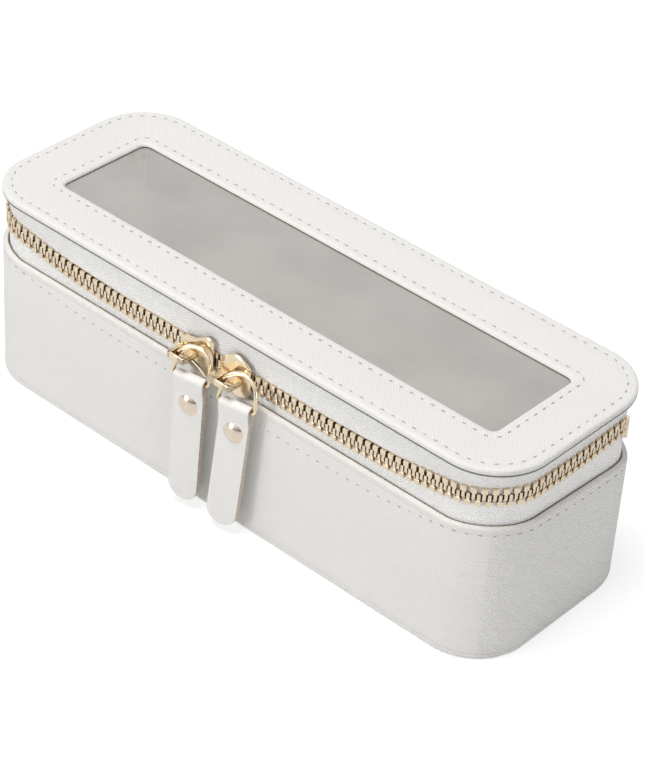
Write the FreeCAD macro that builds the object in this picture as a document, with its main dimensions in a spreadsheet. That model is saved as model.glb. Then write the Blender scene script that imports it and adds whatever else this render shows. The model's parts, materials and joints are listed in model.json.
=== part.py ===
import FreeCAD, Part
import math
import os
import Sketcher

# Zip-round jewelry box: a leather-covered tub and a lid with a clear window.
# Frame: millimetres, +Z up, origin at the middle of the bottom face.
# X runs along the box, the zip sliders are on the -Y side, the hinge strip is on the +Y side.

V = FreeCAD.Vector

# Driving dimensions: name, value in millimetres or degrees, meaning
SIZES = [
    ("case_length", 210, "length of base and lid"),
    ("case_width", 73, "width of base and lid, front to back"),
    ("corner_radius", 19, "plan radius of the upright corners"),
    ("rim_height", 43.0, "height of the base rim"),
    ("reveal_lower", 10.0, "base rim to the centre line of the zip"),
    ("reveal_upper", 13.4, "centre line of the zip to the lid's underside"),
    ("lid_edge", 2.4, "thickness of the lid"),
    ("wrap_thickness", 0.8, "leather round the walls and over the lid"),
    ("board_thickness", 1.2, "stiff board in the walls and floor"),
    ("bottom_thickness", 0.9, "leather bottom cover"),
    ("bottom_setback", 0.3, "bottom cover behind the wall face"),
    ("edge_round", 1.1, "round of the lid's outer top edge"),
    ("rim_round", 0.5, "round of the base rim's outer edge"),
    ("lining_thickness", 0.5, "cloth lining"),
    ("lining_drop", 1.0, "top of the wall lining below the rim"),
    ("seam_clearance", 0.05, "play between layers that are sewn or glued"),
    ("band_thickness", 0.6, "zip tape and hinge strip"),
    ("band_tuck", 8.5, "how far the band goes down behind the rim"),
    ("band_flange", 1.5, "band turned in under the lid board"),
    ("band_end_angle", 45, "where the zip ends on the back corners"),
    ("tape_gap", 1.4, "tape edge from the centre line of the teeth"),
    ("hinge_gap", 0.15, "half the gap at the fold of the hinge strip"),
    ("frame_width", 17.2, "lid leather from the edge to the window"),
    ("window_radius", 4, "corner radius of the window"),
    ("pane_thickness", 0.4, "clear pane"),
    ("pane_overlap", 6, "pane under the leather round the window"),
    ("tooth_pitch", 2.82, "teeth of one row along the chain"),
    ("tooth_thickness", 2.6, "tooth through the tape"),
    ("tooth_gap", 0.41, "between the meshed heads of the two rows"),
    ("tooth_spacing", 1.12, "between neighbouring teeth on the tape"),
    ("tooth_neck", 0.9, "head to body, from the centre line"),
    ("tooth_reach", 3.0, "tooth top from the centre line"),
    ("tooth_mesh", 0.7, "head past the centre line"),
    ("stop_length", 2.6, "end stop along the tape"),
    ("slider_clearance", 0.3, "plates to teeth"),
    ("slider_length", 13.5, "slider along the chain"),
    ("slider_gap", 0.6, "least gap between the two sliders"),
    ("slider_lip", 1.3, "slider past the teeth at its single mouth, each side"),
    ("slider_flare", 1.3, "slider wider at its two mouths, each side"),
    ("slider_bevel", 1.65, "cut corners at the two mouths"),
    ("slider_plate", 0.9, "thickness of the slider plates"),
    ("flange_depth", 0.9, "lower lip of the plates, towards the tape"),
    ("bridge_width", 2.8, "bridge of the slider, up and down"),
    ("bridge_thickness", 0.9, "bar of the bridge"),
    ("bridge_leg", 1.8, "foot of the bridge along the slider"),
    ("bridge_span", 2.8, "opening of the bridge along the slider"),
    ("bridge_heel", 1.1, "far foot of the bridge"),
    ("bridge_room", 3.0, "ring centre off the face of the slider"),
    ("bridge_play", 1.65, "crown of the bridge off the ring's side"),
    ("zip_meet", -1.8, "where the two sliders meet, from the middle of the box"),
    ("ring_offset_left", 1.45, "left ring centre from its slider's centre"),
    ("ring_offset_right", 5.8, "right ring centre from its slider's centre"),
    ("pull_twist", 9, "turn of both pulls towards the right end"),
    ("ring_lean", 14, "lean of the ring, with its bar outwards"),
    ("ring_wire", 1.3, "wire of the pull ring"),
    ("ring_corner", 1.0, "lower corners of the ring"),
    ("ring_play", 0.4, "ring to the side of the bridge's eye"),
    ("ring_shoulder", 0.5, "top arc inside the lower corners"),
    ("ring_length", 4.4, "top arc centre to lower bar"),
    ("ring_slack", 0.4, "ring above the bridge foot that it hangs on"),
    ("tab_width", 10.6, "leather pull tab"),
    ("tab_play", 0.1, "ring bar past each side of the tab"),
    ("tab_leather", 0.95, "one layer of the folded tab"),
    ("tab_taper", 5, "where the fold closes, below the bar"),
    ("tab_floor", 1.2, "end of the tab above the ground"),
    ("tab_round", 5.5, "lower corners of the tab"),
    ("pin_clearance", 0.1, "ring bar in the fold of the tab"),
    ("rivet_margin", 0.6, "rivet cap below the fold's taper"),
    ("rivet_cap", 7, "front cap of the rivet"),
    ("rivet_dome", 1.2, "height of the front cap"),
    ("rivet_post", 2.8, "post of the rivet"),
    ("rivet_back", 6, "back cap of the rivet"),
    ("rivet_back_dome", 0.5, "height of the back cap"),
]

doc = FreeCAD.newDocument("jewelry_box")
sheet = doc.addObject("Spreadsheet::Sheet", "sizes")
for row, (alias, value, meaning) in enumerate(SIZES, start=1):
    sheet.set(f"A{row}", meaning)
    sheet.set(f"B{row}", str(value))
    sheet.setAlias(f"B{row}", alias)
doc.recompute()


def size(formula):
    """Value of a formula written with the sheet's names."""
    return float(sheet.evalExpression(formula))


# Places worked out from the driving dimensions, as insets from the outer wall face
WALL = "(sizes.wrap_thickness + sizes.board_thickness)"
BAND_OUT = f"({WALL} + sizes.seam_clearance)"
BAND_IN = f"({BAND_OUT} + sizes.band_thickness)"
BAND_MID = f"({BAND_OUT} + sizes.band_thickness / 2)"
LINING_OUT = f"({BAND_IN} + sizes.seam_clearance)"
LINING_IN = f"({LINING_OUT} + sizes.lining_thickness)"
PANE_INSET = "(sizes.frame_width - sizes.pane_overlap)"

# Heights
FLOOR_TOP = "(sizes.bottom_thickness + sizes.board_thickness)"
CHAIN_HEIGHT = "(sizes.rim_height + sizes.reveal_lower)"
LID_LOW = f"({CHAIN_HEIGHT} + sizes.reveal_upper)"
CASE_HEIGHT = f"({LID_LOW} + sizes.lid_edge)"
LEATHER_LOW = f"({CASE_HEIGHT} - sizes.wrap_thickness)"
PANE_LOW = f"({LEATHER_LOW} - sizes.pane_thickness)"
FLANGE_LOW = f"({LID_LOW} - sizes.band_thickness)"
BAND_LOW = "(sizes.rim_height - sizes.band_tuck)"

# Plane across the back corners where the zip gives way to the hinge strip
BAND_END = (f"(sizes.case_width / 2 - sizes.corner_radius"
            f" + (sizes.corner_radius - {WALL}) * sin(sizes.band_end_angle))")

# Depths at the front of the zip, along Y
TEETH_FRONT = f"(-sizes.case_width / 2 + {BAND_MID} - sizes.tooth_thickness / 2)"
TEETH_BACK = f"({TEETH_FRONT} + sizes.tooth_thickness)"
PLATE_IN = f"({TEETH_FRONT} - sizes.slider_clearance)"
PLATE_OUT = f"({PLATE_IN} - sizes.slider_plate)"
TAB_BORE = "(sizes.ring_wire / 2 + sizes.pin_clearance)"
TAB_FOLD = f"({TAB_BORE} + sizes.tab_leather)"

# Half widths of a slider, and where it narrows as shares of its length
NARROW = "(sizes.tooth_reach + sizes.slider_clearance + sizes.slider_lip)"
WIDE = f"({NARROW} + sizes.slider_flare)"
NARROWS_FROM = "(3 / 8)"
NARROWS_TO = "(3 / 4)"

# The ring's left side goes through the eye of the bridge, so it hangs on the near foot
RING_BAR = "(sizes.tab_width + 2 * sizes.tab_play)"
RING_RADIUS = f"({RING_BAR} / 2 + sizes.ring_corner - sizes.ring_shoulder)"
EYE_FAR = f"({RING_RADIUS} + sizes.ring_wire / 2 + sizes.ring_play)"
EYE_NEAR = f"({EYE_FAR} - sizes.bridge_span)"

# Ring and tab turn about upright lines through the eye and the bar, then the ring leans
RING_DEPTH = f"({PLATE_OUT} - sizes.bridge_room)"
CROWN_IN = f"({RING_DEPTH} - {RING_RADIUS} * sin(sizes.pull_twist) - sizes.bridge_play)"
APEX_HEIGHT = (f"((sizes.bridge_width / 2 + sizes.ring_slack) / cos(sizes.ring_lean)"
               f" - sqrt(({RING_RADIUS} - sizes.ring_wire / 2)^2 - {EYE_NEAR}^2))")
BAR_DROP = f"(sizes.ring_length - {APEX_HEIGHT})"
BAR_OUT = f"({BAR_DROP} * sin(sizes.ring_lean))"
BAR_HEIGHT = f"({CHAIN_HEIGHT} - {BAR_DROP} * cos(sizes.ring_lean))"
RIVET_DROP = "(sizes.tab_taper + sizes.rivet_margin + sizes.rivet_cap / 2)"

SIDES = {"left": -1, "right": 1}


def new_body(label):
    body = doc.addObject("PartDesign::Body", label)
    body.Label = label
    return body


def new_sketch(body, name, role, offset=("0", "0", "0")):
    """Sketch on one of the body's own origin planes, moved by three formulas."""
    sketch = body.newObject("Sketcher::SketchObject", f"{body.Name}_{name}")
    plane = [part for part in body.Origin.OriginFeatures if part.Role == role][0]
    sketch.AttachmentSupport = [(plane, "")]
    sketch.MapMode = "FlatFace"
    for axis, formula in zip("xyz", offset):
        sketch.setExpression(f"AttachmentOffset.Base.{axis}", formula)
    return sketch


def turn_body(body, x, y, z, lean="0"):
    """Set a body made round the origin in its place, turned like the pulls and leaning."""
    body.setExpression("Placement", f"placement(vector({x}; {y}; {z});"
                                    f" rotation(sizes.pull_twist; 0; -{lean}))")


def fix(sketch, kind, where, formula):
    """Dimension of a sketch that follows a formula."""
    index = sketch.addConstraint(Sketcher.Constraint(kind, *where, size(formula)))
    sketch.setExpression(f"Constraints[{index}]", formula)


def feature(body, kind, name, sketch, length):
    """Pad or pocket of a sketch by a formula."""
    made = body.newObject(f"PartDesign::{kind}", f"{body.Name}_{name}")
    made.Profile = sketch
    made.setExpression("Length", length)
    sketch.Visibility = False
    return made


def outline(sketch, inset, radius=None):
    """Rounded rectangle that lies inset inside the outer wall face."""
    length = f"(sizes.case_length - 2 * {inset})"
    width = f"(sizes.case_width - 2 * {inset})"
    radius = radius or f"(sizes.corner_radius - {inset})"
    r = size(radius)
    x = size(length) / 2 - r
    y = size(width) / 2 - r
    corners = [(x, -y), (x, y), (-x, y), (-x, -y)]
    arcs = []
    for turn, (cx, cy) in enumerate(corners, start=-1):
        circle = Part.Circle(V(cx, cy, 0), V(0, 0, 1), r)
        start = turn * math.pi / 2
        arcs.append(sketch.addGeometry(Part.ArcOfCircle(circle, start, start + math.pi / 2)))
    lines = []
    ends = [((-x, -y - r), (x, -y - r)), ((x + r, -y), (x + r, y)),
            ((x, y + r), (-x, y + r)), ((-x - r, y), (-x - r, -y))]
    for (x0, y0), (x1, y1) in ends:
        lines.append(sketch.addGeometry(Part.LineSegment(V(x0, y0, 0), V(x1, y1, 0))))
    for side in range(4):
        sketch.addConstraint(Sketcher.Constraint("Tangent", lines[side], 2, arcs[side], 1))
        sketch.addConstraint(Sketcher.Constraint("Tangent", arcs[side], 2, lines[(side + 1) % 4], 1))
    for side in (0, 2):
        sketch.addConstraint(Sketcher.Constraint("Horizontal", lines[side]))
        sketch.addConstraint(Sketcher.Constraint("Vertical", lines[side + 1]))
    for side in (1, 2, 3):
        sketch.addConstraint(Sketcher.Constraint("Equal", arcs[0], arcs[side]))
    sketch.addConstraint(Sketcher.Constraint("Symmetric", arcs[0], 3, arcs[2], 3, -1, 1))
    fix(sketch, "Radius", (arcs[0],), radius)
    fix(sketch, "DistanceX", (lines[3], 1, lines[1], 1), length)
    fix(sketch, "DistanceY", (lines[0], 1, lines[2], 1), width)


def polygon(sketch, points):
    """Closed straight-sided outline through points given as pairs of formulas."""
    places = [V(size(x), size(y), 0) for x, y in points]
    count = len(points)
    lines = []
    for index in range(count):
        segment = Part.LineSegment(places[index], places[(index + 1) % count])
        lines.append(sketch.addGeometry(segment))
    for index in range(count):
        after = lines[(index + 1) % count]
        sketch.addConstraint(Sketcher.Constraint("Coincident", lines[index], 2, after, 1))
    for line, (x, y) in zip(lines, points):
        fix(sketch, "DistanceX", (-1, 1, line, 1), x)
        fix(sketch, "DistanceY", (-1, 1, line, 1), y)


def rectangle(sketch, x0, y0, x1, y1):
    polygon(sketch, [(x0, y0), (x1, y0), (x1, y1), (x0, y1)])


def circle(sketch, radius):
    made = sketch.addGeometry(Part.Circle(V(0, 0, 0), V(0, 0, 1), size(radius)))
    sketch.addConstraint(Sketcher.Constraint("Coincident", made, 3, -1, 1))
    fix(sketch, "Radius", (made,), radius)


def layer(body, name, low, high, inset, hole=None, hole_radius=None):
    """Flat or ring-shaped layer between two heights."""
    sketch = new_sketch(body, f"{name}_outline", "XY_Plane", ("0", "0", low))
    outline(sketch, inset)
    if hole:
        outline(sketch, hole, hole_radius)
    return feature(body, "Pad", name, sketch, f"{high} - {low}")


def part_at_corners(body):
    """Hairline cuts where the straight front meets the corners, so that each length is a simple shape."""
    body.AllowCompound = True
    start = "(sizes.case_length / 2 - sizes.corner_radius)"
    end = f"({start} + sizes.seam_clearance)"
    for name, low, high in (("left_part", f"-{end}", f"-{start}"), ("right_part", start, end)):
        sketch = new_sketch(body, f"{name}_outline", "XY_Plane")
        rectangle(sketch, low, "-sizes.case_width", high, "0")
        cut = feature(body, "Pocket", name, sketch, CASE_HEIGHT)
        cut.Reversed = True


def trim_across(body, name, front, back):
    """Cut away all of a body between two planes square to Y."""
    sketch = new_sketch(body, f"{name}_outline", "XY_Plane")
    rectangle(sketch, "-sizes.case_length", front, "sizes.case_length", back)
    cut = feature(body, "Pocket", name, sketch, CASE_HEIGHT)
    cut.Reversed = True
    return cut


def round_edges(body, name, base, radius, wanted):
    """Round the edges of a feature that a test picks out."""
    doc.recompute()
    names = [f"Edge{number}" for number, edge in enumerate(base.Shape.Edges, start=1) if wanted(edge)]
    made = body.newObject("PartDesign::Fillet", f"{body.Name}_{name}")
    made.Base = (base, names)
    made.setExpression("Radius", radius)
    return made


def lies_at(edge, axis, value):
    """True where the whole edge lies in a plane square to an axis."""
    box = edge.BoundBox
    low = getattr(box, f"{axis}Min")
    high = getattr(box, f"{axis}Max")
    return abs(low - value) < 1e-4 and abs(high - value) < 1e-4


def on_outer_face(edge, inset):
    """True where an edge that runs round the box lies that far inside its wall face."""
    middle = edge.valueAt((edge.FirstParameter + edge.LastParameter) / 2)
    corner = size("sizes.corner_radius")
    x = abs(middle.x) - size("sizes.case_length") / 2 + corner
    y = abs(middle.y) - size("sizes.case_width") / 2 + corner
    reach = math.hypot(max(x, 0), max(y, 0))
    return abs(reach - (corner - inset)) < 1e-3


# Base: bottom cover, boards, leather wrap and lining
def make_base():
    bottom = new_body("base_bottom_cover")
    plate = layer(bottom, "plate", "0", "sizes.bottom_thickness", "sizes.bottom_setback")
    round_edges(bottom, "soft_edge", plate, "sizes.bottom_thickness / 2",
                lambda edge: lies_at(edge, "Z", 0))

    wall = new_body("base_wall_board")
    layer(wall, "ring", "sizes.bottom_thickness", "(sizes.rim_height - sizes.wrap_thickness)",
          "sizes.wrap_thickness", WALL)

    floor = new_body("base_floor_board")
    layer(floor, "plate", "sizes.bottom_thickness", FLOOR_TOP, f"({WALL} + sizes.seam_clearance)")

    wrap = new_body("base_wrap")
    layer(wrap, "skirt", "sizes.bottom_thickness", "sizes.rim_height", "0", "sizes.wrap_thickness")
    turned = layer(wrap, "turned_rim", "(sizes.rim_height - sizes.wrap_thickness)",
                   "sizes.rim_height", "0", WALL)
    rim = size("sizes.rim_height")
    round_edges(wrap, "soft_rim", turned, "sizes.rim_round",
                lambda edge: lies_at(edge, "Z", rim) and on_outer_face(edge, 0))

    lining = new_body("base_wall_lining")
    layer(lining, "ring", FLOOR_TOP, "(sizes.rim_height - sizes.lining_drop)", LINING_OUT, LINING_IN)

    carpet = new_body("base_floor_lining")
    layer(carpet, "sheet", FLOOR_TOP, f"({FLOOR_TOP} + sizes.lining_thickness)",
          f"({LINING_IN} + sizes.seam_clearance)")


# Lid: leather cover with its window, board, pane and lining
def make_lid():
    cover = new_body("lid_cover")
    layer(cover, "skirt", LID_LOW, CASE_HEIGHT, "0", "sizes.wrap_thickness")
    top = layer(cover, "frame", LEATHER_LOW, CASE_HEIGHT, "0",
                "sizes.frame_width", "sizes.window_radius")
    height = size(CASE_HEIGHT)
    round_edges(cover, "soft_edge", top, "sizes.edge_round",
                lambda edge: lies_at(edge, "Z", height) and on_outer_face(edge, 0))

    board = new_body("lid_board")
    board_inset = "(sizes.wrap_thickness + sizes.seam_clearance)"
    layer(board, "frame", LID_LOW, LEATHER_LOW, board_inset, "sizes.frame_width", "sizes.window_radius")
    rebate = new_sketch(board, "rebate_outline", "XY_Plane", ("0", "0", LEATHER_LOW))
    outline(rebate, PANE_INSET, "sizes.window_radius")
    feature(board, "Pocket", "rebate", rebate, "sizes.pane_thickness")

    pane = new_body("window_pane")
    pane_sketch = new_sketch(pane, "sheet_outline", "XY_Plane", ("0", "0", PANE_LOW))
    outline(pane_sketch, f"({PANE_INSET} + sizes.seam_clearance)", "sizes.window_radius")
    feature(pane, "Pad", "sheet", pane_sketch, "sizes.pane_thickness")

    lining = new_body("lid_lining")
    layer(lining, "frame", f"({FLANGE_LOW} - sizes.lining_thickness)", FLANGE_LOW,
          LINING_OUT, "sizes.frame_width", "sizes.window_radius")


# Band between base and lid: zip tape on three sides, hinge strip along the back
def make_band():
    fold_low = f"({CHAIN_HEIGHT} - sizes.hinge_gap)"
    fold_high = f"({CHAIN_HEIGHT} + sizes.hinge_gap)"
    tape_low = f"({CHAIN_HEIGHT} - sizes.tape_gap)"
    tape_high = f"({CHAIN_HEIGHT} + sizes.tape_gap)"
    flange_in = f"({BAND_OUT} + sizes.band_flange)"
    behind_zip = (BAND_END, "sizes.case_width")
    before_hinge = ("-sizes.case_width", f"({BAND_END} + sizes.seam_clearance)")
    for label, edge, cut in (("lower_zip_tape", tape_low, behind_zip),
                             ("hinge_strip_lower", fold_low, before_hinge)):
        body = new_body(label)
        layer(body, "band", BAND_LOW, edge, BAND_OUT, BAND_IN)
        trim_across(body, "end", *cut)
    for label, edge, cut in (("upper_zip_tape", tape_high, behind_zip),
                             ("hinge_strip_upper", fold_high, before_hinge)):
        body = new_body(label)
        layer(body, "band", edge, LID_LOW, BAND_OUT, BAND_IN)
        layer(body, "flange", FLANGE_LOW, LID_LOW, BAND_OUT, flange_in)
        trim_across(body, "end", *cut)
        if label == "upper_zip_tape":
            part_at_corners(body)


def chain_place(distance):
    """Point and outward direction on the tape's middle line, from the front centre."""
    inset = size(BAND_MID)
    radius = size("sizes.corner_radius") - inset
    x = size("sizes.case_length") / 2 - size("sizes.corner_radius")
    y = size("sizes.case_width") / 2 - size("sizes.corner_radius")
    sign = 1 if distance >= 0 else -1
    left = abs(distance)
    arc = radius * math.pi / 2
    if left <= x:
        return V(sign * left, -y - radius, 0), -90
    left -= x
    if left <= arc:
        turn = -90 + math.degrees(left / radius)
    elif left <= arc + 2 * y:
        return V(sign * (x + radius), -y + left - arc, 0), 0 if sign > 0 else 180
    else:
        turn = math.degrees((left - arc - 2 * y) / radius)
        y = -y
    angle = math.radians(turn)
    point = V(sign * (x + radius * math.cos(angle)), -y + radius * math.sin(angle), 0)
    return point, turn if sign > 0 else 180 - turn


def chain_half_length():
    """From the front centre to where the teeth end on a back corner."""
    radius = size("sizes.corner_radius") - size(BAND_MID)
    straight = size("(sizes.case_length + 2 * sizes.case_width) / 2 - 3 * sizes.corner_radius")
    reach = math.asin((size(BAND_END) - size("sizes.case_width / 2 - sizes.corner_radius")) / radius)
    return straight + radius * (math.pi / 2 + reach) - size("sizes.stop_length")


def along_chain(shape, distance, upper):
    """Copy of a piece made round the origin, set on the chain facing outwards."""
    point, turn = chain_place(distance)
    place = shape.copy()
    if not upper:
        place.rotate(V(0, 0, 0), V(0, 1, 0), 180)
    place.rotate(V(0, 0, 0), V(0, 0, 1), turn + 90)
    place.translate(point + V(0, 0, size(CHAIN_HEIGHT)))
    return place


def clamp(profile, thickness):
    """Metal clamp on the tape's edge: an upright profile through the tape, with a slot for it."""
    wire = Part.makePolygon([V(x, -thickness / 2, z) for x, z in profile + profile[:1]])
    block = Part.Face(wire).extrude(V(0, thickness, 0))
    slot = size("sizes.band_thickness + 2 * sizes.seam_clearance")
    low = size("sizes.tape_gap - sizes.seam_clearance")
    reach = size(CASE_HEIGHT)
    return block.cut(Part.makeBox(reach, slot, reach, V(-reach / 2, -slot / 2, low)))


# Teeth and end stops, in rows that follow the tape round the corners
def make_chain():
    head = size("sizes.tooth_pitch / 2 - sizes.tooth_gap") / 2
    body = size("sizes.tooth_pitch - sizes.tooth_spacing") / 2
    tip = -size("sizes.tooth_mesh")
    neck = size("sizes.tooth_neck")
    top = size("sizes.tooth_reach")
    thickness = size("sizes.tooth_thickness")
    pitch = size("sizes.tooth_pitch")
    tooth = clamp([(-head, tip), (head, tip), (head, neck), (body, neck),
                   (body, top), (-body, top), (-body, neck), (-head, neck)], thickness)
    half_stop = size("sizes.stop_length") / 2
    gap = size("sizes.hinge_gap")
    stop = clamp([(-half_stop, gap), (half_stop, gap), (half_stop, top), (-half_stop, top)], thickness)
    end = chain_half_length()
    count = int((end - pitch) / pitch)
    for label, shift, upper in (("upper_zip", 0.0, True), ("lower_zip", 0.5, False)):
        places = [(step + shift) * pitch for step in range(-count, count + 1)]
        places = [place for place in places if place <= count * pitch]
        row = doc.addObject("Part::Feature", f"{label}_teeth")
        row.Shape = Part.makeCompound([along_chain(tooth, place, upper) for place in places])
        ends = doc.addObject("Part::Feature", f"{label}_end_stops")
        ends.Shape = Part.makeCompound([along_chain(stop, side * end, upper) for side in (-1, 1)])


def slider_place(side):
    """Middle of a slider along the box."""
    return f"(sizes.zip_meet + {side} * (sizes.slider_length + sizes.slider_gap) / 2)"


def ring_place(name, side):
    """Middle of a ring along the box."""
    return f"({slider_place(side)} + sizes.ring_offset_{name})"


def slider_outline(side, centre):
    """Plate of a slider seen from the front: wide mouths towards the other slider."""
    bevel = "sizes.slider_bevel"
    soft = "sizes.slider_plate"
    edge = [("0", f"{WIDE} - {bevel}"), (bevel, WIDE),
            (f"{NARROWS_FROM} * sizes.slider_length", WIDE),
            (f"{NARROWS_TO} * sizes.slider_length", NARROW),
            (f"sizes.slider_length - {soft}", NARROW), ("sizes.slider_length", f"{NARROW} - {soft}")]
    start = f"{centre} - {side} * sizes.slider_length / 2"
    upper = [(f"{start} + {side} * ({along})", f"{CHAIN_HEIGHT} + {out}") for along, out in edge]
    lower = [(f"{start} + {side} * ({along})", f"{CHAIN_HEIGHT} - ({out})") for along, out in edge]
    return upper + lower[::-1]


def slider_lip(body, side, centre, depth):
    """Lower lip of a plate, which hooks under the lower row of teeth."""
    low = f"({CHAIN_HEIGHT} - {NARROW})"
    high = f"({low} + sizes.slider_lip)"
    near = f"{centre} + {side} * ({NARROWS_TO} - 1 / 2) * sizes.slider_length"
    far = f"{centre} + {side} * (sizes.slider_length / 2 - sizes.slider_plate)"
    lip = new_sketch(body, "lip_outline", "XZ_Plane", ("0", "0", depth))
    rectangle(lip, near, low, far, high)
    return feature(body, "Pad", "lip", lip, "sizes.flange_depth")


# Sliders: front plate with its bridge, and back plate
def make_slider(name, side):
    centre = slider_place(side)
    front = new_body(f"slider_{name}_front")
    face = new_sketch(front, "plate_outline", "XZ_Plane", ("0", "0", f"-{PLATE_IN}"))
    polygon(face, slider_outline(side, centre))
    plate = feature(front, "Pad", "plate", face, "sizes.slider_plate")
    out = size(PLATE_OUT)
    round_edges(front, "soft_face", plate, "sizes.slider_plate / 2",
                lambda edge: lies_at(edge, "Y", out))
    slider_lip(front, side, centre, f"-({PLATE_IN} + sizes.flange_depth)")
    foot_in = f"({ring_place(name, side)} - {EYE_NEAR})"
    foot_out = f"({foot_in} + sizes.bridge_leg)"
    far_in = f"({foot_in} - sizes.bridge_span)"
    far_out = f"({far_in} - sizes.bridge_heel)"
    sunk = f"({PLATE_OUT} + sizes.slider_plate / 2)"
    over = f"({CROWN_IN} - sizes.bridge_thickness)"
    arch = new_sketch(front, "bridge_outline", "XY_Plane",
                      ("0", "0", f"{CHAIN_HEIGHT} - sizes.bridge_width / 2"))
    polygon(arch, [(foot_out, sunk), (foot_out, over), (far_out, over), (far_out, sunk),
                   (far_in, sunk), (far_in, CROWN_IN), (foot_in, CROWN_IN), (foot_in, sunk)])
    bridge = feature(front, "Pad", "bridge", arch, "sizes.bridge_width")
    bar = size(over)
    round_edges(front, "soft_bridge", bridge, "sizes.bridge_thickness / 3",
                lambda edge: lies_at(edge, "Y", bar))

    rear = new_body(f"slider_{name}_back")
    inner = f"({TEETH_BACK} + sizes.slider_clearance)"
    outer = f"({inner} + sizes.slider_plate)"
    face = new_sketch(rear, "plate_outline", "XZ_Plane", ("0", "0", f"-{outer}"))
    polygon(face, slider_outline(side, centre))
    plate = feature(rear, "Pad", "plate", face, "sizes.slider_plate")
    out = size(outer)
    round_edges(rear, "soft_face", plate, "sizes.slider_plate / 2",
                lambda edge: lies_at(edge, "Y", out))
    slider_lip(rear, side, centre, f"-{inner}")


def ring_spine(sketch):
    """Closed line of the ring's wire: lower bar, two corners, two sides and the top arc."""
    half = size(RING_BAR) / 2
    corner = size("sizes.ring_corner")
    apex = size(RING_RADIUS)
    rise = size("sizes.ring_length")
    middle = V(half, corner - rise, 0)
    slope = math.atan2(-middle.y, -middle.x)
    lean = slope - math.acos((corner - apex) / middle.Length)
    across = V(math.cos(lean), math.sin(lean), 0)
    low = middle + across * corner
    high = across * apex
    bar_end = V(half, -rise, 0)

    def flipped(point):
        return V(-point.x, point.y, 0)

    def arc(centre, radius, start, stop):
        round_line = Part.Circle(centre, V(0, 0, 1), radius)
        return sketch.addGeometry(Part.ArcOfCircle(round_line, start, stop))

    def line(start, stop):
        return sketch.addGeometry(Part.LineSegment(start, stop))

    bar = line(flipped(bar_end), bar_end)
    right = arc(middle, corner, -math.pi / 2, lean)
    up = line(low, high)
    top = arc(V(0, 0, 0), apex, lean, math.pi - lean)
    down = line(flipped(high), flipped(low))
    left = arc(flipped(middle), corner, math.pi - lean, 3 * math.pi / 2)
    loop = [bar, right, up, top, down, left]
    for here, after in zip(loop, loop[1:] + loop[:1]):
        sketch.addConstraint(Sketcher.Constraint("Tangent", here, 2, after, 1))
    sketch.addConstraint(Sketcher.Constraint("Equal", right, left))
    sketch.addConstraint(Sketcher.Constraint("Symmetric", right, 3, left, 3, -2))
    sketch.addConstraint(Sketcher.Constraint("Coincident", top, 3, -1, 1))
    fix(sketch, "Radius", (right,), "sizes.ring_corner")
    fix(sketch, "Radius", (top,), RING_RADIUS)
    fix(sketch, "DistanceX", (left, 3, right, 3), RING_BAR)
    fix(sketch, "DistanceY", (bar, 1, -1, 1), "sizes.ring_length")


def make_ring(name, side):
    body = new_body(f"pull_ring_{name}")
    spine = new_sketch(body, "spine", "XZ_Plane", ("0", APEX_HEIGHT, "0"))
    ring_spine(spine)
    section = new_sketch(body, "wire", "YZ_Plane", ("0", f"-{BAR_DROP}", "0"))
    circle(section, "sizes.ring_wire / 2")
    wire = body.newObject("PartDesign::AdditivePipe", f"{body.Name}_pipe")
    wire.Profile = section
    wire.Spine = (spine, [])
    turn_body(body, ring_place(name, side), RING_DEPTH, CHAIN_HEIGHT, "sizes.ring_lean")


def hang_on_bar(body, name, side):
    """Set a body made round the middle of the ring's bar in its place."""
    x = f"({ring_place(name, side)} + {BAR_OUT} * sin(sizes.pull_twist))"
    y = f"({RING_DEPTH} - {BAR_OUT} * cos(sizes.pull_twist))"
    turn_body(body, x, y, BAR_HEIGHT)


def tab_section(sketch):
    """Side view of the folded tab: a round fold on the ring's bar, closing to two layers."""
    leather = "sizes.tab_leather"
    drop = f"({BAR_HEIGHT} - sizes.tab_floor)"
    radius = size(TAB_FOLD)
    half = size(leather)
    taper = -size("sizes.tab_taper")
    end = -size(drop)
    reach = math.hypot(half, taper)
    lean = math.atan2(taper, half) + math.acos(radius / reach)
    touch = V(radius * math.cos(lean), radius * math.sin(lean), 0)
    fold = sketch.addGeometry(Part.ArcOfCircle(Part.Circle(V(0, 0, 0), V(0, 0, 1), radius),
                                               lean, math.pi - lean))
    path = [V(-touch.x, touch.y, 0), V(-half, taper, 0), V(-half, end, 0),
            V(half, end, 0), V(half, taper, 0), touch]
    lines = [sketch.addGeometry(Part.LineSegment(a, b)) for a, b in zip(path, path[1:])]
    for here, after in zip(lines, lines[1:]):
        sketch.addConstraint(Sketcher.Constraint("Coincident", here, 2, after, 1))
    sketch.addConstraint(Sketcher.Constraint("Tangent", fold, 2, lines[0], 1))
    sketch.addConstraint(Sketcher.Constraint("Tangent", lines[4], 2, fold, 1))
    sketch.addConstraint(Sketcher.Constraint("Coincident", fold, 3, -1, 1))
    fix(sketch, "Radius", (fold,), TAB_FOLD)
    for line, x, y in ((1, f"-{leather}", "-sizes.tab_taper"), (2, f"-{leather}", f"-{drop}"),
                       (3, leather, f"-{drop}"), (4, leather, "-sizes.tab_taper")):
        fix(sketch, "DistanceX", (-1, 1, lines[line], 1), x)
        fix(sketch, "DistanceY", (-1, 1, lines[line], 1), y)


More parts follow.
